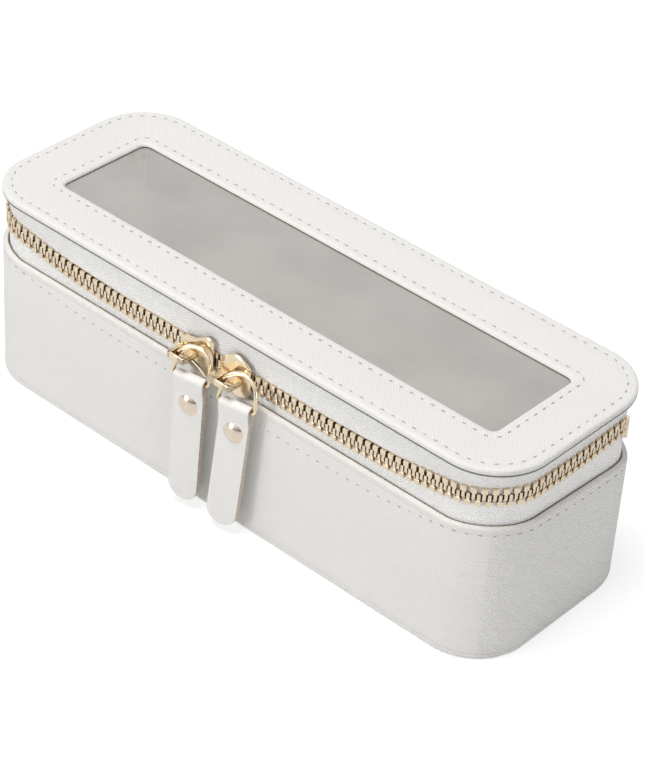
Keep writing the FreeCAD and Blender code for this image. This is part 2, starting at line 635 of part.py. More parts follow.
# Pull tabs: leather folded over the ring's bar, with its lower end rounded
def make_tab(name, side):
    start = "(-sizes.tab_width / 2)"
    body = new_body(f"pull_tab_{name}")
    profile = new_sketch(body, "section", "YZ_Plane", ("0", "0", start))
    tab_section(profile)
    strip = feature(body, "Pad", "strip", profile, "sizes.tab_width")
    low = size(f"sizes.tab_floor - {BAR_HEIGHT}")
    round_edges(body, "end", strip, "min(sizes.tab_round; sizes.tab_width / 2 - sizes.seam_clearance)",
                lambda edge: lies_at(edge, "Z", low) and edge.BoundBox.XLength < 1e-4)
    bore = new_sketch(body, "bore_outline", "YZ_Plane", ("0", "0", start))
    circle(bore, TAB_BORE)
    cut = feature(body, "Pocket", "bore", bore, "sizes.tab_width")
    cut.Reversed = True
    hole = new_sketch(body, "rivet_hole", "XZ_Plane",
                      ("0", f"-{RIVET_DROP}", "-sizes.tab_leather"))
    circle(hole, "sizes.rivet_post / 2 + sizes.seam_clearance")
    cut = feature(body, "Pocket", "hole", hole, "2 * sizes.tab_leather")
    cut.Reversed = True
    hang_on_bar(body, name, side)


def cap_profile(sketch, radius, dome, post, post_length):
    """Half section of a rivet part: a dome towards +y and an optional post towards -y."""
    r = size(radius)
    height = size(dome)
    ball = (r * r + height * height) / (2 * height)
    middle = V(0, height - ball, 0)
    start = math.atan2(-middle.y, r)
    skin = sketch.addGeometry(Part.ArcOfCircle(Part.Circle(middle, V(0, 0, 1), ball),
                                               start, math.pi / 2))
    points = [("0", dome), ("0", "0"), (radius, "0")]
    if post:
        points = [("0", dome), ("0", f"-{post_length}"), (post, f"-{post_length}"),
                  (post, "0"), (radius, "0")]
    places = [V(size(x), size(y), 0) for x, y in points]
    lines = [sketch.addGeometry(Part.LineSegment(a, b)) for a, b in zip(places, places[1:])]
    loop = [skin] + lines
    for here, after in zip(loop, loop[1:] + loop[:1]):
        sketch.addConstraint(Sketcher.Constraint("Coincident", here, 2, after, 1))
    sketch.addConstraint(Sketcher.Constraint("PointOnObject", skin, 3, -2))
    for edge, (x, y) in zip(lines + [skin], points):
        fix(sketch, "DistanceX", (-1, 1, edge, 1), x)
        fix(sketch, "DistanceY", (-1, 1, edge, 1), y)


# Rivets: front cap with its post through the tab, and back cap
def make_rivet(name, side):
    front_cap = ("sizes.rivet_cap / 2", "sizes.rivet_dome", "sizes.rivet_post / 2", "2 * sizes.tab_leather")
    back_cap = ("sizes.rivet_back / 2", "sizes.rivet_back_dome", None, None)
    for label, face, turn, profile in (("front", "-sizes.tab_leather", 180, front_cap),
                                       ("back", "sizes.tab_leather", 0, back_cap)):
        body = new_body(f"rivet_{label}_{name}")
        half = new_sketch(body, "half_section", "XY_Plane", ("0", face, f"-{RIVET_DROP}"))
        half.AttachmentOffset.Rotation = FreeCAD.Rotation(V(0, 0, 1), turn)
        cap_profile(half, *profile)
        spun = body.newObject("PartDesign::Revolution", f"{body.Name}_spun")
        spun.Profile = half
        spun.ReferenceAxis = (half, ["V_Axis"])
        spun.Angle = 360
        hang_on_bar(body, name, side)


make_base()
make_lid()
make_band()
make_chain()
for side_name, sign in SIDES.items():
    make_slider(side_name, sign)
    make_ring(side_name, sign)
    make_tab(side_name, sign)
    make_rivet(side_name, sign)
doc.recompute()

for item in doc.Objects:
    if "Invalid" in item.State or "Error" in item.State:
        raise RuntimeError(f"{item.Label} failed: {item.State}")

sub_parts = [item for item in doc.Objects if item.TypeId in ("PartDesign::Body", "Part::Feature")]
os.makedirs("parts", exist_ok=True)
for item in sub_parts:
    if item.Shape.isNull() or not item.Shape.isValid() or not item.Shape.Solids:
        raise RuntimeError(f"{item.Label} has no valid solid")
for item in sub_parts:
    item.Shape.exportStep(f"parts/{item.Label}.step")
    box = item.Shape.BoundBox
    print(f"{item.Label}: {len(item.Shape.Solids)} solids, {item.Shape.Volume:.1f} mm3,"
          f" X {box.XMin:.2f} {box.XMax:.2f} Y {box.YMin:.2f} {box.YMax:.2f}"
          f" Z {box.ZMin:.2f} {box.ZMax:.2f}")
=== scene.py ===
"""Looks of a zip-round jewelry case: leather, stitching, zip, pulls, clear window and studio."""
import json
import math

import bpy
from mathutils import Matrix, Vector


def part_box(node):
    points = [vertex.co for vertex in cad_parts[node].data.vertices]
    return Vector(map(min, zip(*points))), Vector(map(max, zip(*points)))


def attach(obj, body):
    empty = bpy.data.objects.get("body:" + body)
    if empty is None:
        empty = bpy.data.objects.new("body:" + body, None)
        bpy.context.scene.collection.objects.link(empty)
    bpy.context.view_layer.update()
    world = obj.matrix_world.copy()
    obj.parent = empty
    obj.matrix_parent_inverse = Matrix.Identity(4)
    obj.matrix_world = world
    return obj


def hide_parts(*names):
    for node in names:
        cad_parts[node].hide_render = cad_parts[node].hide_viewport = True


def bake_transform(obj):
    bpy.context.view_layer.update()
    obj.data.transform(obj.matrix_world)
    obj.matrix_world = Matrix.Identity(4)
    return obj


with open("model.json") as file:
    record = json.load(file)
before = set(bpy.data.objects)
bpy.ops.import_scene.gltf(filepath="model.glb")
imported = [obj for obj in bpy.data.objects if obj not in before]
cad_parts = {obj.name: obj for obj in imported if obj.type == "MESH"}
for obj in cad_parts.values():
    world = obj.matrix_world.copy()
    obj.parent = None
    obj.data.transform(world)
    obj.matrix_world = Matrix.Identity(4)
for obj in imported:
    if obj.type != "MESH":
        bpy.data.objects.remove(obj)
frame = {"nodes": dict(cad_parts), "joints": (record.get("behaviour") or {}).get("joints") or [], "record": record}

bl_info = {
    "name": "Zip-round jewelry case",
    "version": (1, 0, 0),
    "blender": (4, 5, 0),
    "location": "View3D > Sidebar > Jewelry case",
    "description": "Leather, stitching, zip, pulls and studio for a jewelry case with a clear window",
    "category": "Object",
}

MM = 0.001


def length(name, millimetres, description):
    """Length property with a default given in millimetres."""
    return bpy.props.FloatProperty(name=name, description=description, default=millimetres * MM,
                                   unit="LENGTH", precision=5)


def angle(name, degrees, description):
    """Angle property with a default given in degrees."""
    return bpy.props.FloatProperty(name=name, description=description, default=math.radians(degrees),
                                   subtype="ANGLE", unit="ROTATION")


def colour(name, value, description):
    """Linear colour property."""
    return bpy.props.FloatVectorProperty(name=name, description=description, default=value, size=3,
                                         subtype="COLOR", min=0, max=1)


class CaseSizes(bpy.types.PropertyGroup):
    """Sizes of the case that the pieces follow."""
    long_side: length("Length", 210, "Outer length of the case")
    short_side: length("Width", 73, "Outer width of the case")
    corner: length("Corner", 19, "Radius of the upright corners")
    foot: length("Foot", 0.9, "Lower edge of the leather on the walls")
    rim: length("Rim", 43, "Top of the base wall")
    chain: length("Chain", 53, "Height where the teeth mesh")
    lid_low: length("Lid edge", 66.4, "Lower edge of the lid")
    top: length("Top", 68.8, "Top of the lid")
    wall: length("Wall", 2.0, "Thickness of the base wall at the rim")
    band: length("Band", 2.05, "Outer face of the tape inside the wall face")
    band_thickness: length("Band thickness", 0.6, "Thickness of the tape and the hinge strip")
    band_low: length("Band low", 34.5, "Lower edge of the hinge strip")
    zip_end: length("Zip end", 29.52, "Where the zip gives way to the hinge strip, along Y")
    window: length("Window", 18.4, "Visible window edge inside the wall face")


class SettleSizes(bpy.types.PropertyGroup):
    """How far the soft rim and zip rise above their built height."""
    front: length("Front", 0.3, "Rise along the middle of the front")
    end: length("Ends", 2.6, "Rise along the two ends")
    corner: length("Corners", 5.5, "Rise at the two front corners")
    reach: length("Reach", 45, "How far a corner's rise is felt along the walls")
    foot: length("Foot", 15, "Height below which the wall keeps its shape")
    back: length("Back", 31, "Where the rise has died away, along Y")
    climb: length("Climb", 3.5, "Further rise of the zip towards the back of the ends")


class StitchSizes(bpy.types.PropertyGroup):
    """Sizes of the stitching."""
    pitch: length("Pitch", 3.87, "From stitch to stitch")
    dash: length("Dash", 1.5, "Length of a stitch on the face")
    thread: length("Thread", 0.48, "Width of the thread")
    margin: length("Margin", 3.0, "Row from the edge of the lid and of the window")
    rim_drop: length("Rim drop", 2.4, "Row below the rim of the base")


class ZipSizes(bpy.types.PropertyGroup):
    """Sizes of the zip."""
    pitch: length("Pitch", 2.82, "From tooth to tooth in a row")
    thickness: length("Thickness", 2.6, "Tooth through the tape")
    head: length("Head", 1.02, "Width of the part that meshes")
    body: length("Body", 1.9, "Width of the part that grips the tape")
    neck: length("Neck", 1.3, "Where the head widens, from the chain's middle")
    reach: length("Reach", 3.0, "End of the tooth on the tape")
    mesh: length("Mesh", 0.95, "Head past the chain's middle")
    stop: length("Stop", 2.6, "Length of an end stop")
    ease: length("Ease", 0.2, "Rounding of the teeth")


class PullSizes(bpy.types.PropertyGroup):
    """Sizes of the pull tabs."""
    width: length("Width", 10.6, "Width of the tab")
    leather: length("Leather", 0.95, "One layer of the tab")
    bore: length("Bore", 0.75, "Inside of the fold, from the bar's middle")
    taper: length("Taper", 5, "Where the two layers meet, below the bar")
    floor: length("Floor", 2.4, "End of the tab above the ground")
    end: length("End", 5.2, "Lower corners of the tab")
    plate_back: length("Plate back", -35.75, "Inner face of the slider's front plate, along Y")
    bridge: length("Bridge", 2.3, "Height of the slider's bridge")
    crown: length("Crown", 0.62, "Thickness of the bridge's crown")
    crown_in: length("Crown in", 0.35, "Crown behind the built one")
    eye_near: length("Eye near", 4.15, "Near side of the bridge's eye from the ring's middle")
    eye_far: length("Eye far", 6.95, "Far side of the bridge's eye from the ring's middle")
    heel: length("Heel", 3.2, "Far foot of the bridge")
    foot: length("Foot", 2.6, "Near foot of the bridge")
    lean_left: angle("Left lean", 2.0, "How far the left tab hangs aslant")
    lean_right: angle("Right lean", 5.0, "How far the right tab hangs aslant")


class GrainSizes(bpy.types.PropertyGroup):
    """Sizes of the patterns in the finishes."""
    ridge: length("Ridge", 1.15, "From ridge to ridge of the leather's grain")
    drift: length("Drift", 1.2, "How far the ridges wander")
    ridge_depth: length("Ridge depth", 0.11, "Height of the leather's grain")
    twill: length("Twill", 0.9, "From line to line of the tape's twill")
    rows: length("Rows", 0.8, "From row to row across the twill")
    weave_depth: length("Weave depth", 0.34, "Height of the tape's weave")
    nap_depth: length("Nap depth", 0.05, "Height of the lining's nap")
    twist: length("Twist", 0.5, "From turn to turn of the thread")
    # Reach of the painted shade that darkens the gold near other metal
    close: length("Close", 1.8, "How near other metal darkens the gold")


class CaseColours(bpy.types.PropertyGroup):
    """Base colours of the finishes."""
    leather: colour("Leather", (0.725, 0.712, 0.69), "Off-white grained leather")
    # Painted shadow: dark colour for the shade under the lid's overhanging edge
    edge: colour("Edge", (0.16, 0.15, 0.14), "Dark line under the lid's edge")
    # Painted shadow: dark colour for the shade where the window's rolled edge meets the pane
    window_edge_shadow: colour("Binding", (0.13, 0.095, 0.07), "Dark edge round the inside of the window")
    seam: colour("Seam", (0.63, 0.61, 0.58), "Line along the foot")
    # Painted bounce light and shade: warm tint on the rim's top standing in for the teeth's shadow and their
    # gold-coloured bounce light
    rim: colour("Rim", (0.79, 0.755, 0.715), "Turned edge on top of the wall")
    # Painted shadow: dark colour for the shade in the gap between the rim and the tape
    gap: colour("Gap", (0.20, 0.155, 0.12), "Dark line between the rim and the tape")
    cut: colour("Cut edge", (0.60, 0.50, 0.43), "Raw edge of the tabs")
    tape: colour("Tape", (0.95, 0.945, 0.93), "Woven zip tape")
    # Painted shadow: dark colour for the shade between the teeth
    teeth_shade: colour("Bed", (0.10, 0.07, 0.045), "Dark between the teeth")
    thread: colour("Thread", (0.36, 0.335, 0.305), "Stitching")
    cloth: colour("Lining", (0.72, 0.675, 0.635), "Greige lining cloth")
    board: colour("Board", (0.36, 0.29, 0.22), "Grey board inside the walls")
    teeth: colour("Teeth", (0.84, 0.73, 0.55), "Pale gold of the teeth")
    hardware: colour("Hardware", (0.88, 0.74, 0.53), "Pale gold of sliders and rings")
    rivet: colour("Rivets", (0.80, 0.68, 0.56), "Rose gold of the rivets")
    # Painted shade: dark colour for gold in the crevices where other metal is close by
    crevice_shade: colour("Tarnish", (0.30, 0.14, 0.05), "Gold where other metal is close by")
    veil: colour("Veil", (0.9, 0.86, 0.83), "Haze in the window")


class CaseLooks(bpy.types.PropertyGroup):
    """All settings of the case."""
    case: bpy.props.PointerProperty(type=CaseSizes, name="Case", description="Sizes of the case")
    settle: bpy.props.PointerProperty(type=SettleSizes, name="Settling", description="Rise of rim and zip")
    stitch: bpy.props.PointerProperty(type=StitchSizes, name="Stitches", description="Stitching")
    zip: bpy.props.PointerProperty(type=ZipSizes, name="Zip", description="Sizes of the zip")
    pull: bpy.props.PointerProperty(type=PullSizes, name="Pulls", description="Pull tabs")
    grain: bpy.props.PointerProperty(type=GrainSizes, name="Grain", description="Patterns of the finishes")
    tint: bpy.props.PointerProperty(type=CaseColours, name="Colours", description="Base colours")


def looks():
    """Settings of the case in the open scene."""
    return bpy.context.scene.jewelry_case


class Field:
    """Shader value that sums and products can be written with."""

    def __init__(self, tree, socket):
        self.tree = tree
        self.socket = socket

    def node(self, kind, inputs, output=0, **settings):
        """Any other node of the same tree, fed with fields or plain values."""
        made = self.tree.nodes.new(kind)
        for key, value in settings.items():
            setattr(made, key, value)
        for key, value in inputs.items():
            if isinstance(value, Field):
                self.tree.links.new(value.socket, made.inputs[key])
            else:
                made.inputs[key].default_value = value
        return Field(self.tree, made.outputs[output])

    def maths(self, operation, *others):
        """Math node on this value and the others."""
        return self.node("ShaderNodeMath", dict(enumerate((self, *others))), operation=operation)

    def __add__(self, other):
        return self.maths("ADD", other)

    def __radd__(self, other):
        return self.maths("ADD", other)

    def __sub__(self, other):
        return self.maths("SUBTRACT", other)

    def __rsub__(self, other):
        return self.maths("MULTIPLY", -1.0).maths("ADD", other)

    def __mul__(self, other):
        return self.maths("MULTIPLY", other)

    def __rmul__(self, other):
        return self.maths("MULTIPLY", other)

    def __pow__(self, other):
        return self.maths("POWER", other)


class Finish:
    """Material with a principled shader and the coordinates its pattern needs."""

    def __init__(self, name, **constants):
        self.material = bpy.data.materials.new(name)
        self.material.use_nodes = True
        self.tree = self.material.node_tree
        self.shader = self.tree.nodes["Principled BSDF"]
        for key, value in constants.items():
            self.shader.inputs[key.replace("_", " ")].default_value = value
        where = self.tree.nodes.new("ShaderNodeTexCoord")
        self.place = Field(self.tree, where.outputs["Object"])
        self.normal = Field(self.tree, where.outputs["Normal"])

    def axes(self, field):
        """X, Y and Z of a vector field."""
        return [field.node("ShaderNodeSeparateXYZ", {0: field}, output=axis) for axis in "XYZ"]

    def endwise(self, limit):
        """1 where the surface faces along X by more than a limit, else 0."""
        return self.axes(self.normal)[0].maths("ABSOLUTE").maths("GREATER_THAN", limit)

    def inset(self):
        """Distance inside the outer wall face."""
        case = looks().case
        x, y = self.axes(self.place)[:2]
        over_x = x.maths("ABSOLUTE") - (case.long_side / 2 - case.corner)
        over_y = y.maths("ABSOLUTE") - (case.short_side / 2 - case.corner)
        round_part = (over_x.maths("MAXIMUM", 0.0) ** 2 + over_y.maths("MAXIMUM", 0.0) ** 2) ** 0.5
        flat_part = over_x.maths("MAXIMUM", over_y).maths("MINIMUM", 0.0)
        return case.corner - round_part - flat_part

    def within(self, field, low, high):
        """1 where a field lies between two values, else 0."""
        return field.maths("GREATER_THAN", low) * field.maths("LESS_THAN", high)

    def noise(self, scale, detail=2.0, rough=0.5):
        """Even noise, with its scale per metre."""
        return self.place.node("ShaderNodeTexNoise",
                               {"Vector": self.place, "Scale": scale, "Detail": detail, "Roughness": rough})

    def wave(self, distance, pitch):
        """Smooth rise and fall between 0 and 1 along a distance."""
        return (distance * (2 * math.pi / pitch)).maths("SINE") * 0.5 + 0.5

    def mix(self, factor, low, high):
        """Colour between two colours or colour fields."""
        low, high = (value if isinstance(value, Field) else (*value, 1) for value in (low, high))
        return self.place.node("ShaderNodeMix", {"Factor": factor, 6: low, 7: high},
                               output=2, data_type="RGBA", clamp_factor=True)

    def tones(self, factor, tint, low, high):
        """Colour between a darker and a lighter shade of a tint."""
        return self.mix(factor, shade(tint, low), shade(tint, high))

    def feed(self, name, field):
        """Link a field to a socket of the shader."""
        self.tree.links.new(field.socket, self.shader.inputs[name])

    def bump(self, height, depth):
        """Relief of a depth in metres."""
        inputs = {"Height": height, "Distance": depth, "Strength": 1.0}
        self.feed("Normal", height.node("ShaderNodeBump", inputs))


def shade(value, factor):
    """Colour made darker or lighter."""
    return tuple(channel * factor for channel in value)


# How far a face has to turn towards X to take the pattern of the ends, or to count as a tab's cut edge
END_FACE, CUT_FACE = 0.7, 0.75


def leather_finish(name, tint, lines=(), cut_edge=None):
    """Off-white leather with a fine cross-hatched grain, and lines of another colour, some of them painted shade.

    A line has a range of heights, a range of insets from the wall face and a colour.
    """
    grain = looks().grain
    finish = Finish(name, Specular_IOR_Level=0.4)
    x, y, z = finish.axes(finish.place)
    on_end = finish.endwise(END_FACE)
    drift = (finish.noise(140.0) - 0.5) * grain.drift
    rising = x + y + z + drift
    falling = (x - y - z) * (1 - on_end) + (y - z) * on_end + drift
    ridges = finish.wave(rising, grain.ridge) ** 1.5 * 0.7 + finish.wave(falling, grain.ridge) ** 1.5 * 0.3
    pores = finish.noise(2600.0, 3.0)
    height = ridges * (0.7 + on_end * 1.1) + pores * 0.25
    tone = height * 0.6 + finish.noise(24.0) * 0.4
    shown = finish.tones(tone, tint, 0.925, 1.04)
    inset = finish.inset()
    for heights, insets, line_tint in lines:
        inside = finish.within(z, *heights) * finish.within(inset, *insets)
        shown = finish.mix(inside, shown, line_tint)
    if cut_edge is not None:
        shown = finish.mix(finish.endwise(CUT_FACE), shown, cut_edge)
    finish.feed("Base Color", shown)
    finish.feed("Roughness", 0.44 + height * 0.16)
    finish.bump(height, grain.ridge_depth)
    return finish.material


def tape_finish(name, tint):
    """Woven tape: slanted twill, with painted shadow between the teeth."""
    grain = looks().grain
    finish = Finish(name, Specular_IOR_Level=0.2)
    x, y, z = finish.axes(finish.place)
    on_end = finish.endwise(END_FACE)
    along = x * (1 - on_end) + y * on_end
    rise = finish.place.node("ShaderNodeAttribute", {}, output="Fac", attribute_name="rise")
    from_chain = (z - rise - looks().case.chain).maths("ABSOLUTE")
    twill = finish.wave(along + from_chain * 0.8, grain.twill)
    rows = finish.wave(from_chain - along * 0.5, grain.rows)
    fuzz = finish.noise(2100.0, 3.0, 0.7)
    height = twill * rows * 0.35 + fuzz * 0.65
    woven = finish.tones(height * 3.2 - 0.75, tint, 0.74, 1.06)
    # Painted shadow: the tape near the chain's middle, between the teeth, is coloured dark
    teeth_shade = from_chain.maths("LESS_THAN", looks().zip.neck)
    finish.feed("Base Color", finish.mix(teeth_shade, woven, looks().tint.teeth_shade))
    finish.feed("Roughness", 0.6 + fuzz * 0.2)
    finish.bump(height, grain.weave_depth)
    return finish.material


def cloth_finish(name, tint):
    """Short-napped lining cloth."""
    finish = Finish(name, Specular_IOR_Level=0.15)
    nap = finish.noise(1700.0, 3.0)
    cloud = finish.noise(30.0)
    tone = nap * 0.5 + cloud * 0.5
    finish.feed("Base Color", finish.tones(tone, tint, 0.9, 1.08))
    finish.feed("Roughness", 0.8 + nap * 0.15)
    finish.bump(nap, looks().grain.nap_depth)
    return finish.material


def board_finish(name, tint):
    """Grey board with flecks."""
    finish = Finish(name, Specular_IOR_Level=0.2)
    flecks = finish.noise(900.0, 4.0, 0.6)
    finish.feed("Base Color", finish.tones(flecks, tint, 0.85, 1.15))
    finish.feed("Roughness", 0.75 + flecks * 0.2)
    return finish.material


def thread_finish(name, tint):
    """Twisted sewing thread."""
    finish = Finish(name, Specular_IOR_Level=0.3)
    x, y, z = finish.axes(finish.place)
    twist = finish.wave(x + y + z, looks().grain.twist)
    finish.feed("Base Color", finish.tones(twist, tint, 0.8, 1.1))
    finish.feed("Roughness", 0.5 + twist * 0.2)
    return finish.material


def gold_finish(name, tint, rough):
    """Polished plated metal, with painted shade darkening it where other metal is close by."""
    finish = Finish(name, Metallic=1.0)
    wear = finish.noise(420.0, 3.0)
    # Painted shade: ambient occlusion darkens the gold's colour towards a dark brown in crevices
    clear = finish.place.node("ShaderNodeAmbientOcclusion", {"Distance": looks().grain.close},
                              output="AO", samples=8)
    worn = finish.tones(wear, tint, 0.94, 1.05)
    finish.feed("Base Color", finish.mix(clear * 1.35 - 0.2, looks().tint.crevice_shade, worn))
    finish.feed("Roughness", rough + wear * 0.1)
    return finish.material


def pane_finish(name, tint):
    """Clear sheet with a haze: seen through straight on, glossy at a flat angle."""
    finish = Finish(name)
    smears = finish.noise(30.0, 3.0)
    clear = finish.place.node("ShaderNodeBsdfTransparent", {"Color": (0.97, 0.97, 0.965, 1)})
    shiny = finish.place.node("ShaderNodeBsdfGlossy", {"Roughness": 0.04})
    veil = finish.place.node("ShaderNodeBsdfDiffuse", {"Color": (*tint, 1)})
    outside = 1 - Field(finish.tree, finish.tree.nodes.new("ShaderNodeNewGeometry").outputs["Backfacing"])
    haze = (0.26 + smears * 0.22) * outside
    gloss = (finish.place.node("ShaderNodeFresnel", {"IOR": 1.45}) * 0.9 + smears * 0.02) * outside
    hazy = finish.place.node("ShaderNodeMixShader", {0: haze, 1: clear, 2: veil})
    mixed = finish.place.node("ShaderNodeMixShader", {0: gloss, 1: hazy, 2: shiny})
    finish.tree.links.new(mixed.socket, finish.tree.nodes["Material Output"].inputs["Surface"])
    finish.tree.nodes.remove(finish.shader)
    return finish.material


# Finishes by name, filled by the first step, and the finish of each material slot
FINISHES = {}
SLOTS = {"white_leather": "leather", "board": "board", "lining_cloth": "cloth", "zip_tape": "tape",
         "window_clear": "pane", "zip_gold": "teeth", "hardware_gold": "hardware", "rivet_gold": "rivet"}
# Turn between two faces, in degrees, past which an edge is shaded sharp, and past which it is rounded
SHARP = 40
ROUNDED = 50


def joint_named(name):
    """Joint of the built part."""
    return next(joint for joint in frame["joints"] if joint["name"] == name)


def deselect():
    """Clear the selection, which operators act on."""
    bpy.ops.object.select_all(action="DESELECT")


def smooth(degrees):
    """Smooth the active piece, with edges kept sharp past a turn."""
    bpy.ops.object.shade_smooth_by_angle(angle=math.radians(degrees))


def thicken(obj, thickness):
    """Give the active sheet a thickness, half to each side."""
    modifier = obj.modifiers.new("thickness", "SOLIDIFY")
    modifier.thickness = thickness
    modifier.offset = 0
    bpy.ops.object.modifier_apply(modifier=modifier.name)


def round_edges(obj, width, segments):
    """Round the edges of the active piece."""
    modifier = obj.modifiers.new("ease", "BEVEL")
    modifier.width = width
    modifier.segments = segments
    modifier.limit_method = "ANGLE"
    modifier.angle_limit = math.radians(ROUNDED)
    bpy.ops.object.modifier_apply(modifier=modifier.name)
    smooth(SHARP)


def cut_across(y, **cleared):
    """Cut the active piece at a place along Y and clear one side."""
    bpy.ops.object.mode_set(mode="EDIT")
    bpy.ops.mesh.select_all(action="SELECT")
    bpy.ops.mesh.bisect(plane_co=(0, y, 0), plane_no=(0, 1, 0), **cleared)
    bpy.ops.object.mode_set(mode="OBJECT")


def add_block(name, size, middle, radius=0, segments=2):
    """Block of a size round its middle, with rounded edges where a radius is given."""
    deselect()
    bpy.ops.mesh.primitive_cube_add(size=1)
    block = bpy.context.object
    block.name = name
    bpy.ops.object.mode_set(mode="EDIT")
    bpy.ops.transform.resize(value=size, center_override=(0, 0, 0))
    bpy.ops.transform.translate(value=middle)
    if radius:
        bpy.ops.mesh.bevel(offset=radius, segments=segments, affect="EDGES")
    bpy.ops.object.mode_set(mode="OBJECT")
    return block


def join(parts, name):
    """One piece made of several."""
    deselect()
    for part in parts:
        part.select_set(True)
    bpy.context.view_layer.objects.active = parts[0]
    bpy.ops.object.join()
    joined = bpy.context.object
    joined.name = name
    return joined


def cover(obj, material):
    """Give a piece one material."""
    obj.data.materials.clear()
    obj.data.materials.append(material)


def hand_over(obj, body, material, replaced=()):
    """Finish a piece: material, body that it rides on, and the nodes it stands for."""
    cover(obj, material)
    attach(obj, body)
    if replaced:
        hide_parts(*replaced)


class Skin:
    """Surface built upwards from a rounded rectangle, ring by ring."""

    # Steps round a corner and over an edge, and the turn in degrees past which an edge is shaded sharp
    CORNER_STEPS, ROUND_STEPS = 14, 5
    CREASE = 32

    def __init__(self, name, inset, z):
        case = looks().case
        self.keep(inset, z)
        deselect()
        bpy.ops.mesh.primitive_plane_add(size=1)
        self.obj = bpy.context.object
        self.obj.name = name
        bpy.ops.object.mode_set(mode="EDIT")
        bpy.ops.transform.resize(value=(self.size.x, self.size.y, 1), center_override=(0, 0, 0))
        bpy.ops.transform.translate(value=(0, 0, z))
        bpy.ops.mesh.bevel(offset=case.corner - inset, segments=self.CORNER_STEPS, affect="VERTICES")

    def keep(self, inset, z):
        """Remember the ring that was reached."""
        self.inset, self.z, self.size = inset, z, self.size_at(inset)

    def size_at(self, inset):
        """Length and width of the ring at an inset."""
        case = looks().case
        return Vector((case.long_side, case.short_side)) - Vector((2, 2)) * inset

    def rise(self, inset, z):
        """Next ring by extruding, scaled to an inset."""
        size = self.size_at(inset)
        bpy.ops.mesh.extrude_region_move(TRANSFORM_OT_translate={"value": (0, 0, z - self.z)})
        ratio = (size.x / self.size.x, size.y / self.size.y, 1)
        bpy.ops.transform.resize(value=ratio, center_override=(0, 0, z))
        self.keep(inset, z)

    def shrink(self, inset, z):
        """Next ring by an even inset, with round corners kept true."""
        bpy.ops.mesh.inset(thickness=inset - self.inset, depth=z - self.z)
        self.keep(inset, z)

    def round_over(self, radius, z):
        """Quarter round from an upright wall to a flat top."""
        start = self.inset
        for step in range(1, self.ROUND_STEPS + 1):
            turn = math.pi / 2 * step / self.ROUND_STEPS
            self.shrink(start + radius * (1 - math.cos(turn)), z + radius * math.sin(turn))

    def done(self):
        """Remove the two caps and smooth the rest."""
        bpy.ops.object.mode_set(mode="OBJECT")
        for face in self.obj.data.polygons:
            face.select = len(face.vertices) > 4
        bpy.ops.object.mode_set(mode="EDIT")
        bpy.ops.mesh.select_mode(type="FACE")
        bpy.ops.mesh.delete(type="FACE")
        bpy.ops.mesh.select_all(action="SELECT")
        bpy.ops.mesh.normals_make_consistent(inside=False)
        bpy.ops.object.mode_set(mode="OBJECT")
        smooth(self.CREASE)
        return self.obj


# Shares of the length: how far from the middle the ends' rise begins, and how long it takes to grow
ENDS_FROM, ENDS_OVER = 0.2, 0.28
# Share of the back's distance over which the rise dies away
BACK_FADE = 0.4


def clamp(share):
    """Share kept between 0 and 1."""
    return min(max(share, 0), 1)


def ease(share):
    """Smooth step from 0 to 1."""
    share = clamp(share)
    return share * share * (3 - 2 * share)


def zip_rise(x, y, climb=1):
    """How far rim and zip stand above their built height at a place of the plan."""
    case, settle = looks().case, looks().settle
    from_end = case.long_side / 2 - abs(x)
    from_front = case.short_side / 2 + y
    ends = ease((abs(x) - ENDS_FROM * case.long_side) / (ENDS_OVER * case.long_side))
    near = ease(1 - from_end / settle.reach) * ease(1 - from_front / settle.reach)
    ahead = ease((settle.back - y) / (BACK_FADE * settle.back))
    level = settle.front * (1 - ends) + settle.end * ends
    level += climb * settle.climb * ends * ease(from_front / case.short_side)
    return ahead * (level + (settle.corner - settle.end) * near)


def settle_mesh(obj, weight, climb=1):
    """Raise each point by the zip's rise times a weight for its height, and store the rise."""
    rises = [zip_rise(*vertex.co.xy, climb) * weight(vertex.co.z) for vertex in obj.data.vertices]
    obj.data.attributes.new("rise", "FLOAT", "POINT").data.foreach_set("value", rises)
    for vertex, rise in zip(obj.data.vertices, rises):
        vertex.co.z += rise


def round_path(inset, corner):
    """Length of a rounded rectangle inside the wall face, and a function to its places."""
    case = looks().case
    x = case.long_side / 2 - inset - corner
    y = case.short_side / 2 - inset - corner
    arc = corner * math.pi / 2
    legs = [(2 * x, (-x, -y - corner), 0), (arc, (x, -y), -90), (2 * y, (x + corner, -y), 90),
            (arc, (x, y), 0), (2 * x, (x, y + corner), 180), (arc, (-x, y), 90),
            (2 * y, (-x - corner, y), 270), (arc, (-x, -y), 180)]

    def place(distance):
        """Point and heading in degrees at a distance from the front left corner."""
        for index, (span, start, turn) in enumerate(legs):
            if distance <= span or index == len(legs) - 1:
                break
            distance -= span
        if index % 2 == 0:
            heading = math.radians(turn)
            point = Vector((*start, 0)) + Vector((math.cos(heading), math.sin(heading), 0)) * distance
            return point, turn
        swept = turn + math.degrees(distance / corner)
        spoke = math.radians(swept)
        point = Vector((*start, 0)) + Vector((math.cos(spoke), math.sin(spoke), 0)) * corner
        return point, swept + 90
    return sum(leg[0] for leg in legs), place


def scatter(pattern, name, places):
    """One piece made of a copy of the pattern at each place, each with its own mesh."""
    copies = []
    for place in places:
        twin = pattern.copy()
        twin.data = pattern.data.copy()
        twin.data.transform(place)
        bpy.context.collection.objects.link(twin)
        copies.append(twin)
    bpy.data.objects.remove(pattern)
    return join(copies, name)


# Height of the dark line along the lid's lower edge, in millimetres: painted shadow where the lid overhangs the
# tape
LID_LINE = 0.72


